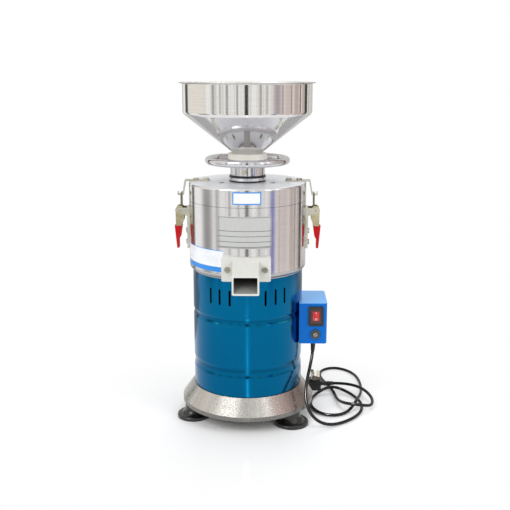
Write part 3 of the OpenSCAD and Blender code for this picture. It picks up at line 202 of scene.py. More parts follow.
class GrinderColours(bpy.types.PropertyGroup):
    """Colours of the grinder's finishes"""
    housing: hue("Housing lacquer", "Tinted lacquer on the motor housing", (0, 104, 152))
    box: hue("Box paint", "Paint of the control box", (0, 105, 198))
    ivory: hue("Chute plastic", "Plastic of the pulp chute", (216, 216, 210))
    white: hue("Collar plastic", "Plastic of the hopper's collar", (232, 229, 220))
    grip: hue("Grip vinyl", "Dipped vinyl on the latch levers", (198, 8, 18))
    rocker: hue("Rocker lens", "Lens of the switch rocker", (214, 18, 20))
    rubber: hue("Rubber", "Rubber of the feet and seals", (30, 28, 27))
    sheath: hue("Cord sheath", "Sheath of the mains cord and its plug", (22, 21, 22))
    print_blue: hue("Print blue", "Printed blue of the label and the badge", (38, 138, 224))


def sizes():
    return bpy.context.scene.grinder_sizes


def colours():
    return bpy.context.scene.grinder_colours


def sum_by(operation):
    """A sum of one or two numbers in a shader, for use as a method."""
    return lambda first, second=0.0: math_node(operation, first, second)


class Number:
    """A number in a shader. Arithmetic with it adds the nodes that do the sum."""
    __add__, __sub__, __mul__ = sum_by("ADD"), sum_by("SUBTRACT"), sum_by("MULTIPLY")
    __pow__, __abs__ = sum_by("POWER"), sum_by("ABSOLUTE")
    __lt__, __gt__ = sum_by("LESS_THAN"), sum_by("GREATER_THAN")

    def __init__(self, socket):
        self.socket = socket

    def __rsub__(self, other):
        return math_node("SUBTRACT", other, self)


def socket_of(value):
    """The socket behind a number in a shader; any other value as it is."""
    return value.socket if isinstance(value, Number) else value


def tree_of(*values):
    """The tree that the first number or output among some values belongs to."""
    return next(socket.id_data for socket in map(socket_of, values) if isinstance(socket, bpy.types.NodeSocket))


def feed(socket, value):
    """Links a number or an output to an input, or sets a plain value on it."""
    value = socket_of(value)
    if isinstance(value, bpy.types.NodeSocket):
        socket.id_data.links.new(value, socket)
    else:
        socket.default_value = value


def add(tree, kind, inputs=None, **settings):
    """A shader node of a kind with its settings, and values for its inputs by name or number."""
    node = tree.nodes.new("ShaderNode" + kind)
    for key, value in settings.items():
        setattr(node, key, value)
    for key, value in (inputs or {}).items():
        feed(node.inputs[key], value)
    return node


def math_node(operation, a, b=0.0):
    return Number(add(tree_of(a, b), "Math", {0: a, 1: b}, operation=operation).outputs[0])


def larger(first, *others):
    """The largest of some numbers."""
    for other in others:
        first = math_node("MAXIMUM", first, other)
    return first


def remap(value, low, high, to_low=0.0, to_high=1.0):
    """A value between low and high, moved to between two others."""
    node = add(tree_of(value), "MapRange", {
        "Value": value, "From Min": low, "From Max": high, "To Min": to_low, "To Max": to_high})
    return Number(node.outputs[0])


def blend(value, first, last):
    """A value from 0 to 1, moved to between two others."""
    return remap(value, 0.0, 1.0, first, last)


def mix(factor, first, second):
    """Two colours mixed by a factor."""
    node = add(tree_of(factor), "Mix", {"Factor": factor}, data_type="RGBA")
    for number, value in ((6, first), (7, second)):
        feed(node.inputs[number], value if isinstance(value, bpy.types.NodeSocket) else (*value[:3], 1.0))
    return node.outputs[2]


def band(value, middle, half, soft):
    """Mask that is 1 where a value lies within half of a middle, with soft edges."""
    node = add(tree_of(value), "MapRange", {
        "Value": abs(value - middle), "From Min": half + soft, "From Max": half - soft},
        interpolation_type="SMOOTHSTEP")
    return Number(node.outputs[0])


def vector(tree, operation, *inputs):
    """The result of a sum of vectors."""
    return add(tree, "VectorMath", dict(enumerate(inputs)), operation=operation).outputs


def coords_of(tree):
    """The place on the object."""
    return add(tree, "TexCoord").outputs["Object"]


def place_of(tree, origin):
    """The place on the object from an origin."""
    return vector(tree, "ADD", coords_of(tree), -origin)[0]


def split(tree, place):
    """The three numbers of a vector."""
    return [Number(socket) for socket in add(tree, "SeparateXYZ", {0: place}).outputs]


def scaled(colour, factor):
    """A colour made darker or lighter."""
    return tuple(min(1.0, channel * factor) for channel in colour[:3])


def new_group(name, inputs, outputs):
    """An empty shader group with number inputs and outputs, and its two end nodes."""
    group = bpy.data.node_groups.new(name, "ShaderNodeTree")
    for label, default in inputs:
        socket = group.interface.new_socket(label, in_out="INPUT", socket_type="NodeSocketFloat")
        socket.default_value = default
    for label in outputs:
        group.interface.new_socket(label, in_out="OUTPUT", socket_type="NodeSocketFloat")
    return group, group.nodes.new("NodeGroupInput"), group.nodes.new("NodeGroupOutput")


def from_axis(tree):
    """Place on the machine: a unit vector round its axis, the distance from the axis and the height."""
    moved = place_of(tree, AXIS)
    flat = vector(tree, "MULTIPLY", moved, (1, 1, 0))[0]
    unit = vector(tree, "NORMALIZE", flat)[0]
    return unit, Number(vector(tree, "LENGTH", flat)["Value"]), split(tree, moved)[2]


def height_of(tree):
    """The height on the machine."""
    return split(tree, place_of(tree, AXIS))[2]


def azimuth(tree):
    """Angle in degrees round the machine from its front, to the right, and the height."""
    x, y, z = split(tree, place_of(tree, AXIS))
    return math_node("ARCTAN2", x, y * -1.0) * (180 / pi), z


def drawn_grain_group():
    """Fine lines left by turning, drawing or brushing, by how often they change each way."""
    group, start, end = new_group("drawn_grain", (("Round", 40), ("Up", 40), ("Out", 40)), ("Grain",))
    unit, radius, height = from_axis(group)
    given = start.outputs
    around = add(group, "VectorMath", {0: unit, "Scale": given["Round"]}, operation="SCALE").outputs[0]
    along = add(group, "CombineXYZ", {"Z": height * given["Up"] + radius * given["Out"]}).outputs[0]
    noise = add(group, "TexNoise", {
        "Vector": vector(group, "ADD", around, along)[0], "Scale": 1.0, "Detail": 3, "Roughness": 0.65})
    feed(end.inputs["Grain"], remap(noise.outputs[0], *NOISE_RANGE))
    return group


def speckle_group():
    """Fine grains, such as cast skin, moulded texture or sheath, and sparse pits."""
    group, start, end = new_group("speckle", (("Scale", 900), ("Pits", 0.0)), ("Grain", "Pits"))
    coords = coords_of(group)
    fine = add(group, "TexNoise", {
        "Vector": coords, "Scale": start.outputs["Scale"], "Detail": 4, "Roughness": 0.6})
    feed(end.inputs["Grain"], remap(fine.outputs[0], *NOISE_RANGE))
    cells = add(group, "TexVoronoi", {"Vector": coords, "Scale": 70})
    small = Number(cells.outputs["Distance"]) < 0.07
    chance = Number(add(group, "SeparateColor", {0: cells.outputs["Color"]}).outputs[0])
    feed(end.inputs["Pits"], small * (chance < start.outputs["Pits"]))
    return group


def smudge_group():
    """Soft patches, such as handling marks and uneven polish, between two values."""
    group, start, end = new_group("smudge", (("Scale", PATCH_SCALE), ("Low", 0.0), ("High", 1.0)), ("Value",))
    given = start.outputs
    soft = add(group, "TexNoise", {
        "Vector": coords_of(group), "Scale": given["Scale"], "Detail": 5, "Roughness": 0.55, "Distortion": 0.6})
    feed(end.inputs["Value"], remap(soft.outputs[0], *NOISE_RANGE, given["Low"], given["High"]))
    return group


EFFECTS = {}


def effect(tree, name, **values):
    """A shader group placed in a material, with its own values."""
    if name not in EFFECTS:
        EFFECTS[name] = {
            "drawn_grain": drawn_grain_group, "speckle": speckle_group, "smudge": smudge_group}[name]()
    node = add(tree, "Group", node_tree=EFFECTS[name])
    for key, value in values.items():
        node.inputs[key.capitalize()].default_value = value
    return {socket.name: Number(socket) for socket in node.outputs}


def grain_of(tree, around, up, out):
    """Fine lines, from 0 to 1."""
    return effect(tree, "drawn_grain", round=around, up=up, out=out)["Grain"]


def skin_of(tree, scale):
    """Fine grains, from 0 to 1."""
    return effect(tree, "speckle", scale=scale)["Grain"]


def patches_of(tree, scale, low=0.0, high=1.0):
    """Soft patches between two values."""
    return effect(tree, "smudge", scale=scale, low=low, high=high)["Value"]


def faint_patches(tree, most=0.03):
    """Soft patches of a little more and a little less."""
    return patches_of(tree, PATCH_SCALE, -most, most)


def new_material(name):
    material = bpy.data.materials.new(name)
    material.use_nodes = True
    return material, material.node_tree


def finish(material, relief=None, **values):
    """Feeds a material's shader by the names of its inputs, with relief from a height, a strength and a depth."""
    tree = material.node_tree
    if relief:
        bump = dict(zip(("Height", "Strength", "Distance"), relief))
        values["normal"] = add(tree, "Bump", bump).outputs[0]
    for key, value in values.items():
        feed(tree.nodes["Principled BSDF"].inputs[key.replace("_", " ").title().replace("Ior", "IOR")], value)
    return material


def metal(name, colour, rough, grain, rub=0.10, depth=0.02 * MM, shade=0.86, smudge=0.05, stain=None):
    """Bare metal with drawn or turned lines, rubbed or stained patches and fine relief."""
    material, tree = new_material(name)
    lines = grain_of(tree, *grain)
    tone = mix(lines, scaled(colour, shade), colour)
    if stain:
        spots = patches_of(tree, 28, -0.5, 0.9)
        tone = mix(larger(spots, 0.0), tone, stain)
    rubbed = blend(lines, rough + rub / 2, rough - rub / 2) + faint_patches(tree, smudge)
    return finish(
        material, base_color=tone, roughness=larger(rubbed, 0.03), metallic=1.0,
        relief=(lines, 0.4, depth) if depth else None)


def cast_metal(name, colour, rough, scale=1100, depth=0.12 * MM, sectors=0.3, lip=None, dull_and_shaded=()):
    """Cast skin, roughly machined: sandy grains, light and dark sectors, a few pits, a darker lower lip, and
    painted shade and painted reflection in given sectors.
    """
    material, tree = new_material(name)
    skin = effect(tree, "speckle", scale=scale, pits=CAST_PITS)
    turned = grain_of(tree, 7, 0.0, 0.0)
    patches = patches_of(tree, 24)
    sand = patches_of(tree, 260)
    grainy = skin["Grain"] * 0.4 + sand * 0.6
    mottled = mix(grainy, scaled(colour, 0.78), scaled(colour, 1.1))
    worn = mix(patches * 0.35, mottled, scaled(colour, 1.12))
    sector = mix(turned * sectors, worn, scaled(colour, 0.6))
    # Painted shade and painted reflection: given sectors round the base are mixed towards a darker or warmer
    # colour.
    for middle, half, soft, tint in dull_and_shaded:
        patch = band(azimuth(tree)[0], middle, half, soft) * 0.8
        sector = mix(patch, sector, rgb(*tint))
    if lip:
        below = remap(height_of(tree), lip + 0.3 * MM, lip - 0.3 * MM)
        sector = mix(below, sector, scaled(colour, 0.36))
    return finish(
        material, base_color=mix(skin["Pits"] * 0.8, sector, scaled(colour, 0.2)),
        roughness=blend(sand, rough + 0.12, rough - 0.1), metallic=1.0,
        relief=(grainy - skin["Pits"], 0.6, depth))


def moulded(name, colour, rough, coat=0.0, scale=1500, depth=0.03 * MM, shade=0.9, specular=0.5):
    """Moulded plastic, rubber or paint: fine texture, soft uneven gloss and a little dirt."""
    material, tree = new_material(name)
    skin = skin_of(tree, scale)
    patches = patches_of(tree, 14)
    tone = skin * 0.35 + patches * 0.65
    return finish(
        material, base_color=mix(tone, scaled(colour, shade), colour),
        roughness=blend(patches, rough - 0.05, rough + 0.07), coat_weight=coat, coat_roughness=0.12,
        specular_ior_level=specular, relief=(skin, 0.35, depth))


def dress(material, *nodes):
    """Gives CAD nodes, or new pieces, one finish."""
    for node in nodes:
        data = (NODES[node] if isinstance(node, str) else node).data
        data.materials.clear()
        data.materials.append(material)


def placed(name, data):
    """An object with its data, in the scene."""
    item = bpy.data.objects.new(name, data)
    bpy.context.scene.collection.objects.link(item)
    return item


def mesh_object(name, build, material):
    """An object with a mesh made by build(bmesh), and its finish."""
    mesh = bpy.data.meshes.new(name)
    shape = bmesh.new()
    build(shape)
    shape.to_mesh(mesh)
    shape.free()
    item = placed(name, mesh)
    dress(material, item)
    return item


def new_piece(name, build, material, body):
    """A mesh piece made by build(bmesh), with its finish, riding on a body."""
    def outward(shape):
        build(shape)
        bmesh.ops.recalc_face_normals(shape, faces=shape.faces)
    piece = mesh_object(name, outward, material)
    piece.data.shade_smooth()
    piece.data.set_sharp_from_angle(angle=radians(SHARP_ANGLE))
    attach(piece, body)
    return piece


def tube(name, kind, places, material):
    """A round tube along some places, with its curve and the line in it."""
    curve = bpy.data.curves.new(name, "CURVE")
    curve.dimensions = "3D"
    curve.use_fill_caps = True
    curve.materials.append(material)
    line = curve.splines.new(kind)
    line.points.add(len(places) - 1)
    for point, place in zip(line.points, places):
        point.co = (*place, 1.0)
    return placed(name, curve), curve, line


def rounded(corners, bends):
    """A line of corners, some of them bent round by a radius at their number and held flat beside the bend."""
    line = []
    for number, corner in enumerate(corners):
        radius = bends.get(number, 0.0)
        if not radius:
            line.append(corner)
            continue
        back = (corners[number - 1] - corner).normalized()
        ahead = (corners[number + 1] - corner).normalized()
        half = back.angle(ahead) / 2
        middle = corner + (back + ahead).normalized() * radius / sin(half)
        reach = radius / tan(half)
        first, last = corner + back * reach - middle, corner + ahead * reach - middle
        line.append(middle + first + back * HOLD)
        for step in range(BEND_STEPS + 1):
            line.append(middle + first.lerp(last, step / BEND_STEPS).normalized() * radius)
        line.append(middle + last + ahead * HOLD)
    return line


def spun_section(line, steps=128):
    """Builds the closed section line, in distance from the axis and height, spun round the axis."""
    def build(shape):
        verts = [shape.verts.new(AXIS + Vector((r, 0.0, z))) for r, z in line]
        edges = [shape.edges.new((verts[i - 1], verts[i])) for i in range(len(verts))]
        bmesh.ops.spin(
            shape, geom=[*verts, *edges], cent=AXIS, axis=(0, 0, 1), angle=2 * pi, steps=steps, use_merge=True)
        bmesh.ops.remove_doubles(shape, verts=shape.verts, dist=0.01 * MM)
    return build


def drum_film(radius, first, last, low, high, thick, steps=48):
    """Builds a film laid on the drum, between two angles from the front and two heights."""
    def build(shape):
        turn = Matrix.Rotation(radians(first), 4, "Z")
        ends = [shape.verts.new(AXIS + turn @ Vector((0, -radius, z))) for z in (low, high)]
        edge = shape.edges.new(ends)
        bmesh.ops.spin(
            shape, geom=[*ends, edge], cent=AXIS, axis=(0, 0, 1), angle=radians(last - first), steps=steps)
        bmesh.ops.recalc_face_normals(shape, faces=shape.faces)
        bmesh.ops.solidify(shape, geom=shape.faces[:], thickness=thick)
    return build


def seen(tree):
    """1 for what is seen straight, mirrored or through glass, and 0 for what lights the set."""
    rays = add(tree, "LightPath").outputs
    return larger(rays["Is Camera Ray"], rays["Is Glossy Ray"], rays["Is Transmission Ray"])


def glow(tree, colour=(1, 1, 1, 1), strength=1.0):
    return add(tree, "Emission", {"Color": colour, "Strength": strength}).outputs[0]


def mixed(tree, factor, first, second):
    return add(tree, "MixShader", {0: factor, 1: first, 2: second}).outputs[0]


def show(tree, surface):
    feed(tree.nodes["Material Output"].inputs["Surface"], surface)


def make_world(scene):
    world = bpy.data.worlds.new("studio")
    world.use_nodes = True
    tree = world.node_tree
    tree.nodes.clear()
    strength = blend(seen(tree), WORLD_LIGHT, 1.0)
    light = add(tree, "Background", {"Color": (1, 1, 1, 1), "Strength": strength})
    add(tree, "OutputWorld", {"Surface": light.outputs[0]})
    scene.world = world


def make_floor():
    material, tree = new_material("floor_paper")
    finish(material, base_color=(0.93, 0.93, 0.93, 1.0), roughness=0.9, specular_ior_level=0.1)
    far = vector(tree, "LENGTH", coords_of(tree))["Value"]
    fade = remap(far, *FLOOR_FADE) * seen(tree)
    show(tree, mixed(tree, fade, tree.nodes["Principled BSDF"].outputs[0], glow(tree)))

    def disc(shape):
        bmesh.ops.create_circle(shape, cap_ends=True, radius=FLOOR_R, segments=96)
    floor = mesh_object("floor", disc, material)


def make_lamps():
    for name, place, aim, size, power in LAMPS:
        data = bpy.data.lights.new(name, "AREA")
        data.shape = "RECTANGLE"
        data.size, data.size_y = size
        data.energy = power
        lamp = placed(name, data)
        lamp.location = place
        lamp.rotation_euler = (Vector(aim) - Vector(place)).to_track_quat("-Z", "Y").to_euler()
        if name == CORD_LAMP:
            lamp.light_linking.receiver_collection = bpy.data.collections.new(CORD_LAMP)


def only_mirrored(piece):
    """Keeps a stage piece out of everything but reflections."""
    piece.visible_camera = piece.visible_diffuse = piece.visible_shadow = False


def make_flags():
    """Soft dark and tinted flags on one ring round the set, which only shiny surfaces show."""
    material, tree = new_material("flag_ring")
    angle, height = azimuth(tree)
    streaks = add(tree, "TexNoise", {"W": angle, "Scale": 0.24, "Detail": 4, "Roughness": 0.7},
                  noise_dimensions="1D").outputs[0]
    cover = larger(remap(streaks, 0.46, 0.66, 0.0, 0.75) * band(angle, 0.0, 66, 8), 0.0)
    tone = rgb(172, 170, 166)
    upper = remap(height, LOW[1] - 0.05, HIGH[0] + 0.05)
    lower = 1.0 - upper
    for middle, half, soft, heights, *screen in FLAGS:
        mask = band(angle, middle, half, soft)
        if heights != ALL:
            mask = mask * (upper if heights == HIGH else lower)
        tone = mix(mask, tone, rgb(*screen))
        cover = larger(cover, mask)
    clear = add(tree, "BsdfTransparent").outputs[0]
    show(tree, mixed(tree, cover, clear, glow(tree, tone)))

    def ring(shape):
        bmesh.ops.create_cone(
            shape, cap_ends=False, segments=128, radius1=RING_R, radius2=RING_R, depth=RING_H,
            matrix=Matrix.Translation(AXIS + Vector((0, 0, RING_H / 2))))
    only_mirrored(mesh_object("flag_ring", ring, material))


def make_cards():
    """A narrow bright card in front, for the housing's upright highlight, and a grey one behind."""
    for name, place, size, strength in FLOOR_CARDS:
        material, tree = new_material(name)
        show(tree, glow(tree, strength=strength))
        spread = Matrix.Translation(AXIS + Vector(place)) @ Matrix.Diagonal((*size, 1, 1))

        def card(shape):
            bmesh.ops.create_grid(shape, x_segments=1, y_segments=1, size=0.5, matrix=spread)
        only_mirrored(mesh_object(name, card, material))


class GRINDER_OT_stage(bpy.types.Operator):
    """Camera, floor, lamps and world of the studio"""
    bl_idname = "grinder.stage"
    bl_label = "Studio"

    def execute(self, context):
        scene = context.scene
        scene.view_settings.view_transform = "Standard"
        data = bpy.data.cameras.new("photo_camera")
        data.lens, data.sensor_width = LENS, SENSOR
        camera = placed("photo_camera", data)
        camera.location = (AXIS.x + CAMERA_X, CAMERA_Y, CAMERA_Z)
        camera.rotation_euler = (radians(90 - CAMERA_DOWN), 0.0, radians(CAMERA_TURN))
        scene.camera = camera
        make_world(scene)
        make_floor()
        make_lamps()
        make_flags()
        make_cards()
        return {"FINISHED"}


def sleeve(name, material, points, first, last, radius):
    """A tapered and ridged rubber sleeve round the cord, between two places along its points."""
    shares = [step / SLEEVE_STEPS for step in range(SLEEVE_STEPS + 1)]
    places = [spline_place(points, first + (last - first) * share) for share in shares]
    piece, curve, line = tube(name, "POLY", places, material)
    thin = sizes().cord_diameter / 2 + 0.5 * MM
    for step, share in enumerate(shares):
        ridge = 0.35 * MM if step % 4 < 2 and step < SLEEVE_STEPS - 2 else 0.0
        line.points[step].radius = (radius + (thin - radius) * share + ridge) / thin
    curve.bevel_depth, curve.bevel_resolution = thin, 6
    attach(piece, "frame")


class GRINDER_OT_cord(bpy.types.Operator):
    """Mains cord from the gland to its plug, along the same route as the part's source"""
    bl_idname = "grinder.cord"
    bl_label = "Mains cord"

    def execute(self, context):
        points = [Vector((GLAND.x + x * MM, GLAND.y + y * MM, z * MM)) for x, y, z in CORD_ROUTE]
        points = [2 * points[0] - points[1], *points, 2 * points[-1] - points[-2]]
        sheath = moulded(
            "cord_sheath", scaled(colours().sheath, 0.5), 0.2, scale=2600, depth=0.004 * MM, shade=0.7,
            specular=0.35)
        cord, curve, line = tube("mains_cord", "NURBS", points, sheath)
        line.order_u, line.use_endpoint_u, line.resolution_u = 4, False, 8
        curve.bevel_depth, curve.bevel_resolution = sizes().cord_diameter / 2, 5
        bpy.data.collections[CORD_LAMP].objects.link(cord)
        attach(cord, "frame")
        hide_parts("power_cord")
        rubber = moulded("relief_rubber", colours().sheath, 0.4, scale=1800)
        sleeve("gland_relief", rubber, points, 0.0, GLAND_SLEEVE, GLAND_TIP)
        last = len(points) - 3
        sleeve("plug_relief", rubber, points, last, last - PLUG_SLEEVE, PLUG_TIP)
        dress(moulded("plug_rubber", scaled(colours().sheath, 2.2), 0.36, scale=1800), "plug", "cord_gland")
        dress(metal("pin_brass", rgb(250, 238, 214), 0.14, (60, 500, 60)), "plug_pins")
        return {"FINISHED"}


def hopper_steel(bend_z, rim_z):
    """Drawn sheet, matt inside and at the rim, with a darker flange and painted shade on the cone."""
    material, tree = new_material("hopper_steel")
    lines = grain_of(tree, 2.5, 2200, 2200)
    _, radius, height = from_axis(tree)
    cone = height < bend_z
    wall = remap(height, sizes().hopper_neck_height, bend_z, sizes().hopper_neck, sizes().hopper_radius)
    inside = radius < wall - sizes().hopper_sheet * 0.6
    bright = mix(lines, rgb(224, 222, 218), rgb(240, 238, 235))
    # Painted shade: the cone is a little darker and cooler than the wall.
    cone_shade = mix(lines, rgb(216, 215, 216), rgb(222, 221, 222))
    flange = radius > sizes().hopper_radius + 0.4 * MM
    rim = remap(height, rim_z - 2.5 * MM, rim_z - 1.5 * MM, 0.0, HOPPER_MATT)
    matt = larger(rim, inside * HOPPER_MATT)
    return finish(
        material, base_color=mix(flange, mix(cone, bright, cone_shade), rgb(168, 167, 165)),
        roughness=larger(blend(lines, 0.11, 0.07) + faint_patches(tree), 0.03) + matt,
        metallic=blend(larger(cone, inside), 1.0, 0.78),
        relief=(lines * remap(matt, 0.0, HOPPER_MATT, 1.0, 0.0), 0.3, 0.0015 * MM))


class GRINDER_OT_hopper(bpy.types.Operator):
    """Spun feed hopper with round bends and a rolled rim, in place of the plain solid"""
    bl_idname = "grinder.hopper"
    bl_label = "Hopper"

    def execute(self, context):
        low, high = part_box("hopper")
        rim_r, wall, sheet = (high.x - low.x) / 2, sizes().hopper_radius, sizes().hopper_sheet
        neck, bend_z, neck_z = sizes().hopper_neck, sizes().hopper_bend, sizes().hopper_neck_height
        drop = sheet * 0.42
        corners = [Vector(corner) for corner in (
            (neck, low.z), (neck, neck_z), (wall, bend_z), (wall, high.z - sheet), (rim_r, high.z - sheet),
            (rim_r, high.z), (wall - sheet, high.z), (wall - sheet, bend_z + drop), (neck - sheet, neck_z + drop),
            (neck - sheet, low.z))]
        # Radii of the bends in millimetres, by the corner's number
        bends = {1: 4, 2: 9, 3: 1.6, 4: 0.5, 5: 0.5, 6: 2.4, 7: 7.8, 8: 2.8}
        line = rounded(corners, {number: radius * MM for number, radius in bends.items()})
        bowl = new_piece("hopper_bowl", spun_section(line), hopper_steel(bend_z, high.z), "hopper")
        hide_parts("hopper")
        return {"FINISHED"}


def drum_metal():
    """Turned aluminium, duller on the round lower edge and darker there as painted shade."""
    material, tree = new_material("drum_aluminium")
    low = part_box("drum")[0].z
    lines = grain_of(tree, 3, 2600, 2600)
    # Painted shade: the round lower edge is mixed towards a darker grey, and is rougher there.
    edge = remap(height_of(tree), low + 2 * MM, low + 11 * MM, 1.0, 0.0)
    turned = mix(lines, rgb(220, 219, 218), rgb(236, 235, 234))
    return finish(
        material, base_color=mix(edge, turned, rgb(150, 148, 152)),
        roughness=blend(lines, 0.18, 0.12) + faint_patches(tree) + edge * 0.15, metallic=1.0,
        relief=(lines, 0.4, 0.002 * MM))


def wheel_metal():
    """Chromed rim and hub, with a dull cast skin on the spokes and the hub's upper face, its darker colour partly
    painted shade.
    """
    material, tree = new_material("wheel_chrome")
    _, radius, height = from_axis(tree)
    lines = grain_of(tree, 30, 300, 300)
    skin = skin_of(tree, 900)
    # Cast skin, rough and darker; its darker colour is partly painted shade in the wheel's hollow.
    dull_and_shaded = (radius < SPOKE_REACH) * (height > SPOKE_Z)
    chrome = mix(lines, rgb(212, 212, 214), rgb(222, 222, 224))
    cast = mix(skin, rgb(136, 132, 127), rgb(160, 156, 150))
    return finish(
        material, base_color=mix(dull_and_shaded, chrome, cast), roughness=blend(dull_and_shaded, 0.11, 0.5) + faint_patches(tree),
        metallic=blend(dull_and_shaded, 1.0, 0.6), relief=(skin * dull_and_shaded, 0.4, 0.05 * MM))


def lid_metal():
    """Polished side and satin top, parted at the lid's round edge."""
    material, tree = new_material("lid_aluminium")
    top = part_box("lid")[1].z
    lines = grain_of(tree, 3, 2600, 1500)
    upper = remap(height_of(tree), top - 1.2 * MM, top - 0.3 * MM)
    side = mix(lines, rgb(222, 221, 220), rgb(236, 235, 234))
    satin = mix(lines, rgb(218, 220, 225), rgb(228, 230, 235))
    return finish(
        material, base_color=mix(upper, side, satin), roughness=blend(upper, 0.15, 0.3) + faint_patches(tree),
        metallic=blend(upper, 1.0, 0.25), relief=(lines, 0.3, 0.002 * MM))


class GRINDER_OT_polished(bpy.types.Operator):
    """Polished metal of the handwheel, the lid and the drum"""
    bl_idname = "grinder.polished"
    bl_label = "Polished metal"

    def execute(self, context):
        dress(drum_metal(), "drum")
        dress(lid_metal(), "lid", "lid_boss")
        dress(metal("ring_chrome", rgb(222, 222, 224), 0.11, (30, 300, 300), rub=0.03, depth=0.0,
                    shade=0.95, smudge=0.03), "boss_ring")
        dress(wheel_metal(), "handwheel")
        dress(metal("sheet_steel", rgb(214, 212, 208), 0.22, (4, 1500, 1500)),
              "hopper", "milk_ring", "milk_spout", "separator_basket")
        return {"FINISHED"}


class GRINDER_OT_castings(bpy.types.Operator):
    """Cast base, motor shield and stone holders"""
    bl_idname = "grinder.castings"
    bl_label = "Castings"

    def execute(self, context):
        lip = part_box("base_casting")[0].z + LIP_HEIGHT
        dress(cast_metal(
            "base_cast", rgb(208, 205, 199), 0.3, scale=620, depth=0.16 * MM, sectors=0.5, lip=lip,
            dull_and_shaded=BASE_PAINTED_SECTORS), "base_casting")
        dress(cast_metal("inner_cast", rgb(186, 184, 182), 0.45),
              "motor_top_shield", "stone_carrier", "upper_stone_holder")
        return {"FINISHED"}


def box_paint():
    """Paint that is glossiest on the upper face, which is also painted lighter as painted light."""
    material, tree = new_material("box_paint")
    colour = colours().box
    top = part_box("control_box")[1].z
    skin = skin_of(tree, 1300)
    patches = patches_of(tree, 14)
    # Painted light: the upper face is mixed towards a lighter blue; it also has the coat.
    upper = remap(height_of(tree), top - 0.8 * MM, top - 0.2 * MM)
    tone = mix(patches, scaled(colour, 0.92), colour)
    return finish(
        material, base_color=mix(upper, tone, rgb(70, 172, 250)), coat_weight=upper,
        roughness=blend(patches, 0.42, 0.5), specular_ior_level=0.15, coat_roughness=0.12,
        relief=(skin, 0.3, 0.02 * MM))


def lacquer():
    """Lacquer on bright metal outside, darker towards the bottom and above the grooves as painted shade, with
    painted glints on the grooves' lower lips and a near-black inside as painted shade.
    """
    material, tree = new_material("housing_lacquer")
    colour = colours().housing
    _, radius, height = from_axis(tree)
    low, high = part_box("motor_housing")
    lines = grain_of(tree, 220, 3, 40)
    patches = patches_of(tree, 9)
    tinted = mix(lines, scaled(colour, 0.9), scaled(colour, 1.08))
    tinted = mix(patches * 0.3, tinted, (colour[0], colour[1] * 1.25, colour[2]))
    # Painted shade: darker towards the bottom.
    tinted = mix(remap(height, low.z, high.z, 0.5, 0.0), tinted, scaled(colour, 0.55))
    for middle, half, glint in GROOVES:
        shade = band(height, (middle + half * 0.3) * MM, half * 0.35 * MM, half * 0.25 * MM)
        tinted = mix(shade * 0.45, tinted, scaled(colour, 0.35))
        # Painted highlight: broken light glints on each groove's lower lip.
        lip = band(height, (middle - half * 0.75) * MM, 1.2 * MM, 1.0 * MM)
        broken = patches_of(tree, 26, -1.3, 1.2)
        tinted = mix(larger(broken, 0.06) * lip * glint, tinted, rgb(60, 196, 220))
    # Painted shade: the inside, seen through the vents, is near-black.
    inside = radius < (high.y - low.y) / 2 - 1.45 * MM
    return finish(
        material, base_color=mix(inside, tinted, rgb(16, 16, 17)), roughness=blend(lines, 0.22, 0.15), metallic=1.0,
        coat_weight=0.05, coat_roughness=0.08, relief=(lines, 0.25, 0.008 * MM))


class GRINDER_OT_paint(bpy.types.Operator):
    """Tinted lacquer on the motor housing and paint on the control box"""
    bl_idname = "grinder.paint"
    bl_label = "Lacquer and paint"

    def execute(self, context):
        dress(lacquer(), "motor_housing")
        dress(box_paint(), "control_box")
        return {"FINISHED"}


def chute_plastic():
    """Off-white plastic, with painted shade on the faces that look into the duct, darkest at the top."""
    material, tree = new_material("chute_plastic")
    low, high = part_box("chute")
    x, y, z = split(tree, coords_of(tree))
    facing_x, _, facing_z = split(tree, add(tree, "NewGeometry").outputs["True Normal"])
    aside = x - (low.x + high.x) / 2
    inward = aside * facing_x < -0.4 * DUCT_HALF
    within = abs(aside) < DUCT_HALF
    rise = (y - (AXIS.y + DUCT_Y)) * DUCT_SLOPE
    below = z - rise < DUCT_Z
    floor = below * (facing_z > 0.3)
    roof = (1.0 - below) * (facing_z < -0.4)
    hidden = larger(floor, roof, inward) * within
    skin = skin_of(tree, 1500)
    patches = patches_of(tree, 14)
    colour = colours().ivory
    plain = mix(patches, scaled(colour, 0.92), colour)
    # Painted shade inside the duct: near-black at the top, grey lower down.
    depth = remap(z, low.z + 3 * MM, low.z + 22 * MM)
    duct_shade = mix(depth, scaled(colour, 0.42), scaled(colour, 0.06))
    return finish(
        material, base_color=mix(hidden, plain, duct_shade), roughness=blend(patches, 0.32, 0.44), coat_weight=0.1,
        coat_roughness=0.12, relief=(skin, 0.35, 0.03 * MM))


class GRINDER_OT_plastics(bpy.types.Operator):
    """Chute, collar and grips"""
    bl_idname = "grinder.plastics"
    bl_label = "Plastics"

    def execute(self, context):
        dress(chute_plastic(), "chute")
        dress(moulded("collar_plastic", colours().white, 0.42), "hopper_collar")
        dress(moulded("grip_vinyl", colours().grip, 0.4, shade=0.8, specular=0.2),
              "latch_grip_left", "latch_grip_right")
        dress(moulded("fan_plastic", rgb(56, 58, 60), 0.5), "cooling_fan")
        return {"FINISHED"}


def on_rocker(across, along, lift):
    """A point on the rocker's two faces, along them from their meeting edge, lifted off them."""
    pivot = Vector((middle_of("switch_frame").x, AXIS.y + ROCKER_Y * MM, middle_of("switch_frame").z))
    tilt = 2 * ROCKER_WEDGE if along > 0 else 0.0
    up, out = Vector((0, sin(tilt), cos(tilt))), Vector((0, -cos(tilt), sin(tilt)))
    edge = Vector((0, -ROCKER_FRONT * cos(ROCKER_WEDGE), ROCKER_FRONT * sin(ROCKER_WEDGE))) * MM
    return pivot + edge + Vector((across, 0, 0)) * MM + up * along * MM + out * lift * MM


def walls(shape, first, last):
    """Faces between two closed rings of points."""
    for i in range(len(first)):
        ahead = (i + 1) % len(first)
        shape.faces.new((first[i], first[ahead], last[ahead], last[i]))


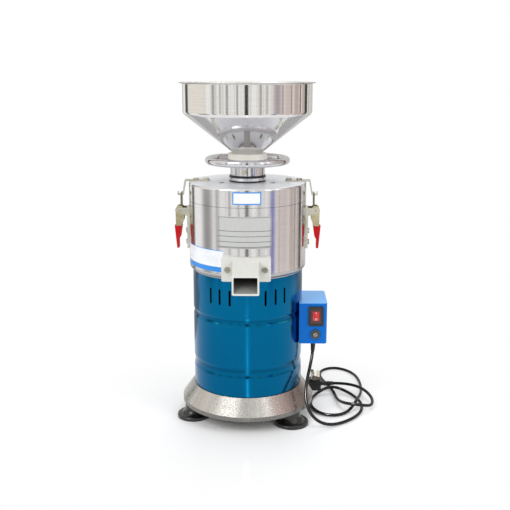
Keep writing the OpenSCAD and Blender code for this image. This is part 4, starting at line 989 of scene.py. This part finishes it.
def rocker_window(shape):
    """A thin lens bent over the rocker's two faces."""
    half_w, half_h, lift = 5.8, 8.6, 0.35
    rings = [[shape.verts.new(on_rocker(across, along, high)) for along, high in (
        (-half_h, -0.4), (-half_h, lift), (0, lift), (half_h, lift), (half_h, -0.4), (0, -0.4))]
        for across in (-half_w, half_w)]
    walls(shape, *rings)
    for ring in rings:
        shape.faces.new((ring[0], ring[1], ring[2], ring[5]))
        shape.faces.new((ring[2], ring[3], ring[4], ring[5]))
    bmesh.ops.recalc_face_normals(shape, faces=shape.faces)
    edges = [edge for edge in shape.edges if edge.calc_face_angle(0) > 1.0]
    bmesh.ops.bevel(shape, geom=edges, offset=0.25 * MM, affect="EDGES", segments=2, profile=0.5, material=-1)


def rocker_marks(shape):
    """A bar on the upper face and a ring on the lower one."""
    def slab(corners):
        rings = [[shape.verts.new(on_rocker(across, along, lift)) for across, along in corners]
                 for lift in MARK_LIFT]
        walls(shape, *rings)
        return rings[1]
    shape.faces.new(slab(((-0.45, 4), (0.45, 4), (0.45, 7.4), (-0.45, 7.4))))
    turns = [2 * pi * i / RING_SIDES for i in range(RING_SIDES)]
    walls(shape, *(slab([(radius * cos(turn), -5.6 + radius * sin(turn)) for turn in turns])
                   for radius in (1.9, 1.25)))


def button_plastic():
    """Grey reset button with a lighter pattern round its middle."""
    material, tree = new_material("button_grey")
    x, _, z = split(tree, place_of(tree, middle_of("reset_button")))
    radius = math_node("SQRT", x ** 2 + z ** 2)
    petals = math_node("SINE", math_node("ARCTAN2", x, z) * PETALS)
    mark = band(radius, 2.6 * MM, 0.5 * MM, 0.25 * MM) * (petals > 0.1)
    grain = skin_of(tree, 2400)
    base = mix(grain, rgb(92, 98, 94), rgb(112, 118, 112))
    return finish(
        material, base_color=mix(mark, base, rgb(196, 200, 194)), roughness=blend(grain, 0.3, 0.42),
        relief=(mark, 0.5, 0.2 * MM))


class GRINDER_OT_switch(bpy.types.Operator):
    """Rocker switch with its lens and marks, and the overload protector"""
    bl_idname = "grinder.switch"
    bl_label = "Switch"

    def execute(self, context):
        dress(moulded("switch_black", rgb(24, 22, 22), 0.3, coat=0.2, scale=2400), "switch_frame")
        dress(moulded("rocker_maroon", rgb(58, 12, 14), 0.16, coat=0.6, scale=900, depth=0.01 * MM),
              "switch_rocker")
        dress(moulded("protector_grey", rgb(66, 68, 66), 0.36, scale=2400), "overload_protector")
        dress(button_plastic(), "reset_button")
        lens = moulded("rocker_lens", colours().rocker, 0.14, coat=0.8, scale=900, depth=0.01 * MM, shade=0.75)
        new_piece("rocker_window", rocker_window, lens, "rocker")
        ink = moulded("rocker_ink", rgb(236, 234, 230), 0.4, scale=2000)
        new_piece("rocker_marks", rocker_marks, ink, "rocker")
        return {"FINISHED"}


class GRINDER_OT_rubber(bpy.types.Operator):
    """Feet, seals and gasket"""
    bl_idname = "grinder.rubber"
    bl_label = "Rubber"

    def execute(self, context):
        dress(moulded("foot_rubber", colours().rubber, 0.32, coat=0.4, scale=1100, shade=0.7),
              "foot_left", "foot_right", "foot_rear")
        dress(moulded("seal_rubber", scaled(colours().rubber, 0.8), 0.4), "shaft_seal", "lid_gasket", "neck_seals")
        return {"FINISHED"}


def latch_rivets(shape):
    """Round heads on both ears of each latch, at the lever's pivot."""
    for side in (-1, 1):
        for face in (-1, 1):
            place = AXIS + Vector((side * PIVOT_X, face * (EAR_Y + RIVET_H / 2), PIVOT_Z)) * MM
            turn = Matrix.Rotation(-face * pi / 2, 4, "X")
            bmesh.ops.create_cone(
                shape, cap_ends=True, segments=24, radius1=RIVET_R * MM, radius2=RIVET_R * 0.72 * MM,
                depth=RIVET_H * MM, matrix=Matrix.Translation(place) @ turn)


class GRINDER_OT_fittings(bpy.types.Operator):
    """Latches, screws and other plated steel"""
    bl_idname = "grinder.fittings"
    bl_label = "Fittings"

    def execute(self, context):
        dress(metal("yellow_zinc", rgb(216, 206, 174), 0.16, (14, 40, 14), rub=0.06, stain=rgb(166, 152, 112)),
              "latch_lever_left", "latch_lever_right")
        dress(metal("pale_zinc", rgb(220, 218, 206), 0.18, (14, 40, 14), rub=0.06, stain=rgb(182, 178, 158)),
              "catch_left", "catch_right", "latch_base_left", "latch_base_right")
        dress(metal("wire_steel", rgb(150, 144, 126), 0.22, (120, 240, 120)),
              "latch_bail_left", "latch_bail_right")
        dress(moulded("blackened_screw", rgb(56, 54, 51), 0.6, specular=0.12), "lid_screws")
        dress(metal("plated_screw", rgb(214, 208, 190), 0.3, (14, 40, 90), stain=rgb(120, 114, 98)),
              "catch_screws", "lock_screw")
        dress(metal("screw_steel", rgb(206, 202, 188), 0.22, (40, 120, 260), stain=rgb(124, 118, 102)),
              "chute_screws", "latch_screws", "foot_bolts", "stone_nut")
        dress(metal("ground_steel", rgb(190, 190, 190), 0.18, (6, 1600, 300)),
              "motor_shaft", "lower_bearing", "upper_bearing", "feed_sleeve")
        rivet = metal("rivet_steel", rgb(206, 200, 180), 0.2, (140, 400, 400))
        new_piece("latch_rivets", latch_rivets, rivet, "frame")
        return {"FINISHED"}


class GRINDER_OT_motor(bpy.types.Operator):
    """Laminations, windings and stones inside"""
    bl_idname = "grinder.motor"
    bl_label = "Motor and stones"

    def execute(self, context):
        dress(metal("laminations", rgb(46, 44, 43), 0.5, (2, 2000, 60), shade=0.5, depth=0.1 * MM),
              "stator_core", "rotor_core")
        dress(metal("enamelled_wire", rgb(52, 34, 26), 0.45, (1.0, 700, 700), shade=0.45, depth=0.3 * MM),
              "stator_windings")
        dress(moulded("emery", rgb(74, 72, 70), 0.9, scale=700, depth=0.3 * MM, shade=0.5),
              "lower_stone", "upper_stone")
        return {"FINISHED"}


def plate_silver():
    """Silver plate with ruled lines and a fainter line round its edge."""
    material, tree = new_material("plate_silver")
    low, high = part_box("name_plate")
    height, angle = height_of(tree), azimuth(tree)[0]
    half_angle = degrees(asin((high.x - low.x) / 2 / DRUM_R))
    middle = degrees(asin(((low.x + high.x) / 2 - AXIS.x) / DRUM_R))
    ruled = larger(*(band(height, z * MM, *RULE) for z in PLATE_RULES))
    for side in (-1, 1):
        upright = band(angle, middle + side * (half_angle - PLATE_EDGE_ANGLE), *RULE_ANGLE)
        ruled = larger(ruled, upright * 0.8)
    for z in (low.z + PLATE_EDGE, high.z - PLATE_EDGE):
        ruled = larger(ruled, band(height, z, *RULE) * 0.8)
    lines = grain_of(tree, 400, 60, 0.0)
    paper = mix(lines, rgb(184, 185, 184), rgb(200, 201, 199))
    return finish(
        material, base_color=mix(ruled * 0.85, paper, rgb(58, 60, 66)), roughness=blend(lines, 0.42, 0.34),
        metallic=0.25)


def badge_film():
    """Plain white film with a blue edge."""
    low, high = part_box("badge_plate")
    material, tree = new_material("badge_film")
    x, _, z = split(tree, place_of(tree, (low + high) / 2))
    half = (high - low) / 2
    inside = (abs(x) < half.x - BADGE_EDGE) * (abs(z) < half.z - BADGE_EDGE)
    skin = patches_of(tree, 60)
    blue = mix(skin, scaled(colours().print_blue, 0.9), colours().print_blue)
    white = mix(skin, rgb(226, 229, 232), rgb(236, 238, 240))
    return finish(material, base_color=mix(inside, blue, white), roughness=blend(skin, 0.28, 0.36))


def drum_label():
    """Plain white label with a blue band below and a thin one above."""
    material, tree = new_material("label_film")
    low, high = sizes().label_low, sizes().label_high
    height = height_of(tree)
    printed = larger(height < low + LABEL_BANDS[0], height > high - LABEL_BANDS[1])
    skin = patches_of(tree, 40)
    blue = mix(skin, scaled(colours().print_blue, 0.9), colours().print_blue)
    white = mix(skin, rgb(226, 229, 234), rgb(238, 240, 244))
    finish(material, base_color=mix(printed, white, blue), roughness=blend(skin, 0.25, 0.34))
    film = drum_film(DRUM_R + 0.05 * MM, *LABEL_ANGLES, low, high, sizes().label_thick)
    new_piece("drum_label", film, material, "frame")


class GRINDER_OT_plates(bpy.types.Operator):
    """Bare name plate, badge place and label on the drum"""
    bl_idname = "grinder.plates"
    bl_label = "Plates and label"

    def execute(self, context):
        dress(plate_silver(), "name_plate")
        dress(badge_film(), "badge_plate")
        drum_label()
        return {"FINISHED"}


class GRINDER_PT_panel(bpy.types.Panel):
    """Sizes, colours and steps of the grinder's looks"""
    bl_idname = "GRINDER_PT_panel"
    bl_label = "Soybean grinder"
    bl_space_type = "VIEW_3D"
    bl_region_type = "UI"
    bl_category = "Grinder"

    def draw(self, context):
        for group in (context.scene.grinder_sizes, context.scene.grinder_colours):
            box = self.layout.box()
            for name in group.__annotations__:
                box.prop(group, name)
        for step in STEPS:
            self.layout.operator(step.bl_idname)


STEPS = (
    GRINDER_OT_stage, GRINDER_OT_cord, GRINDER_OT_hopper, GRINDER_OT_polished, GRINDER_OT_castings,
    GRINDER_OT_paint, GRINDER_OT_plastics, GRINDER_OT_switch, GRINDER_OT_rubber, GRINDER_OT_fittings,
    GRINDER_OT_motor, GRINDER_OT_plates,
)
CLASSES = (GrinderSizes, GrinderColours, *STEPS, GRINDER_PT_panel)


def register():
    for kind in CLASSES:
        bpy.utils.register_class(kind)
    bpy.types.Scene.grinder_sizes = bpy.props.PointerProperty(type=GrinderSizes)
    bpy.types.Scene.grinder_colours = bpy.props.PointerProperty(type=GrinderColours)


def unregister():
    del bpy.types.Scene.grinder_colours
    del bpy.types.Scene.grinder_sizes
    for kind in reversed(CLASSES):
        bpy.utils.unregister_class(kind)


def main():
    register()
    for step in STEPS:
        family, name = step.bl_idname.split(".")
        getattr(getattr(bpy.ops, family), name)()


if __name__ == "__main__":
    main()
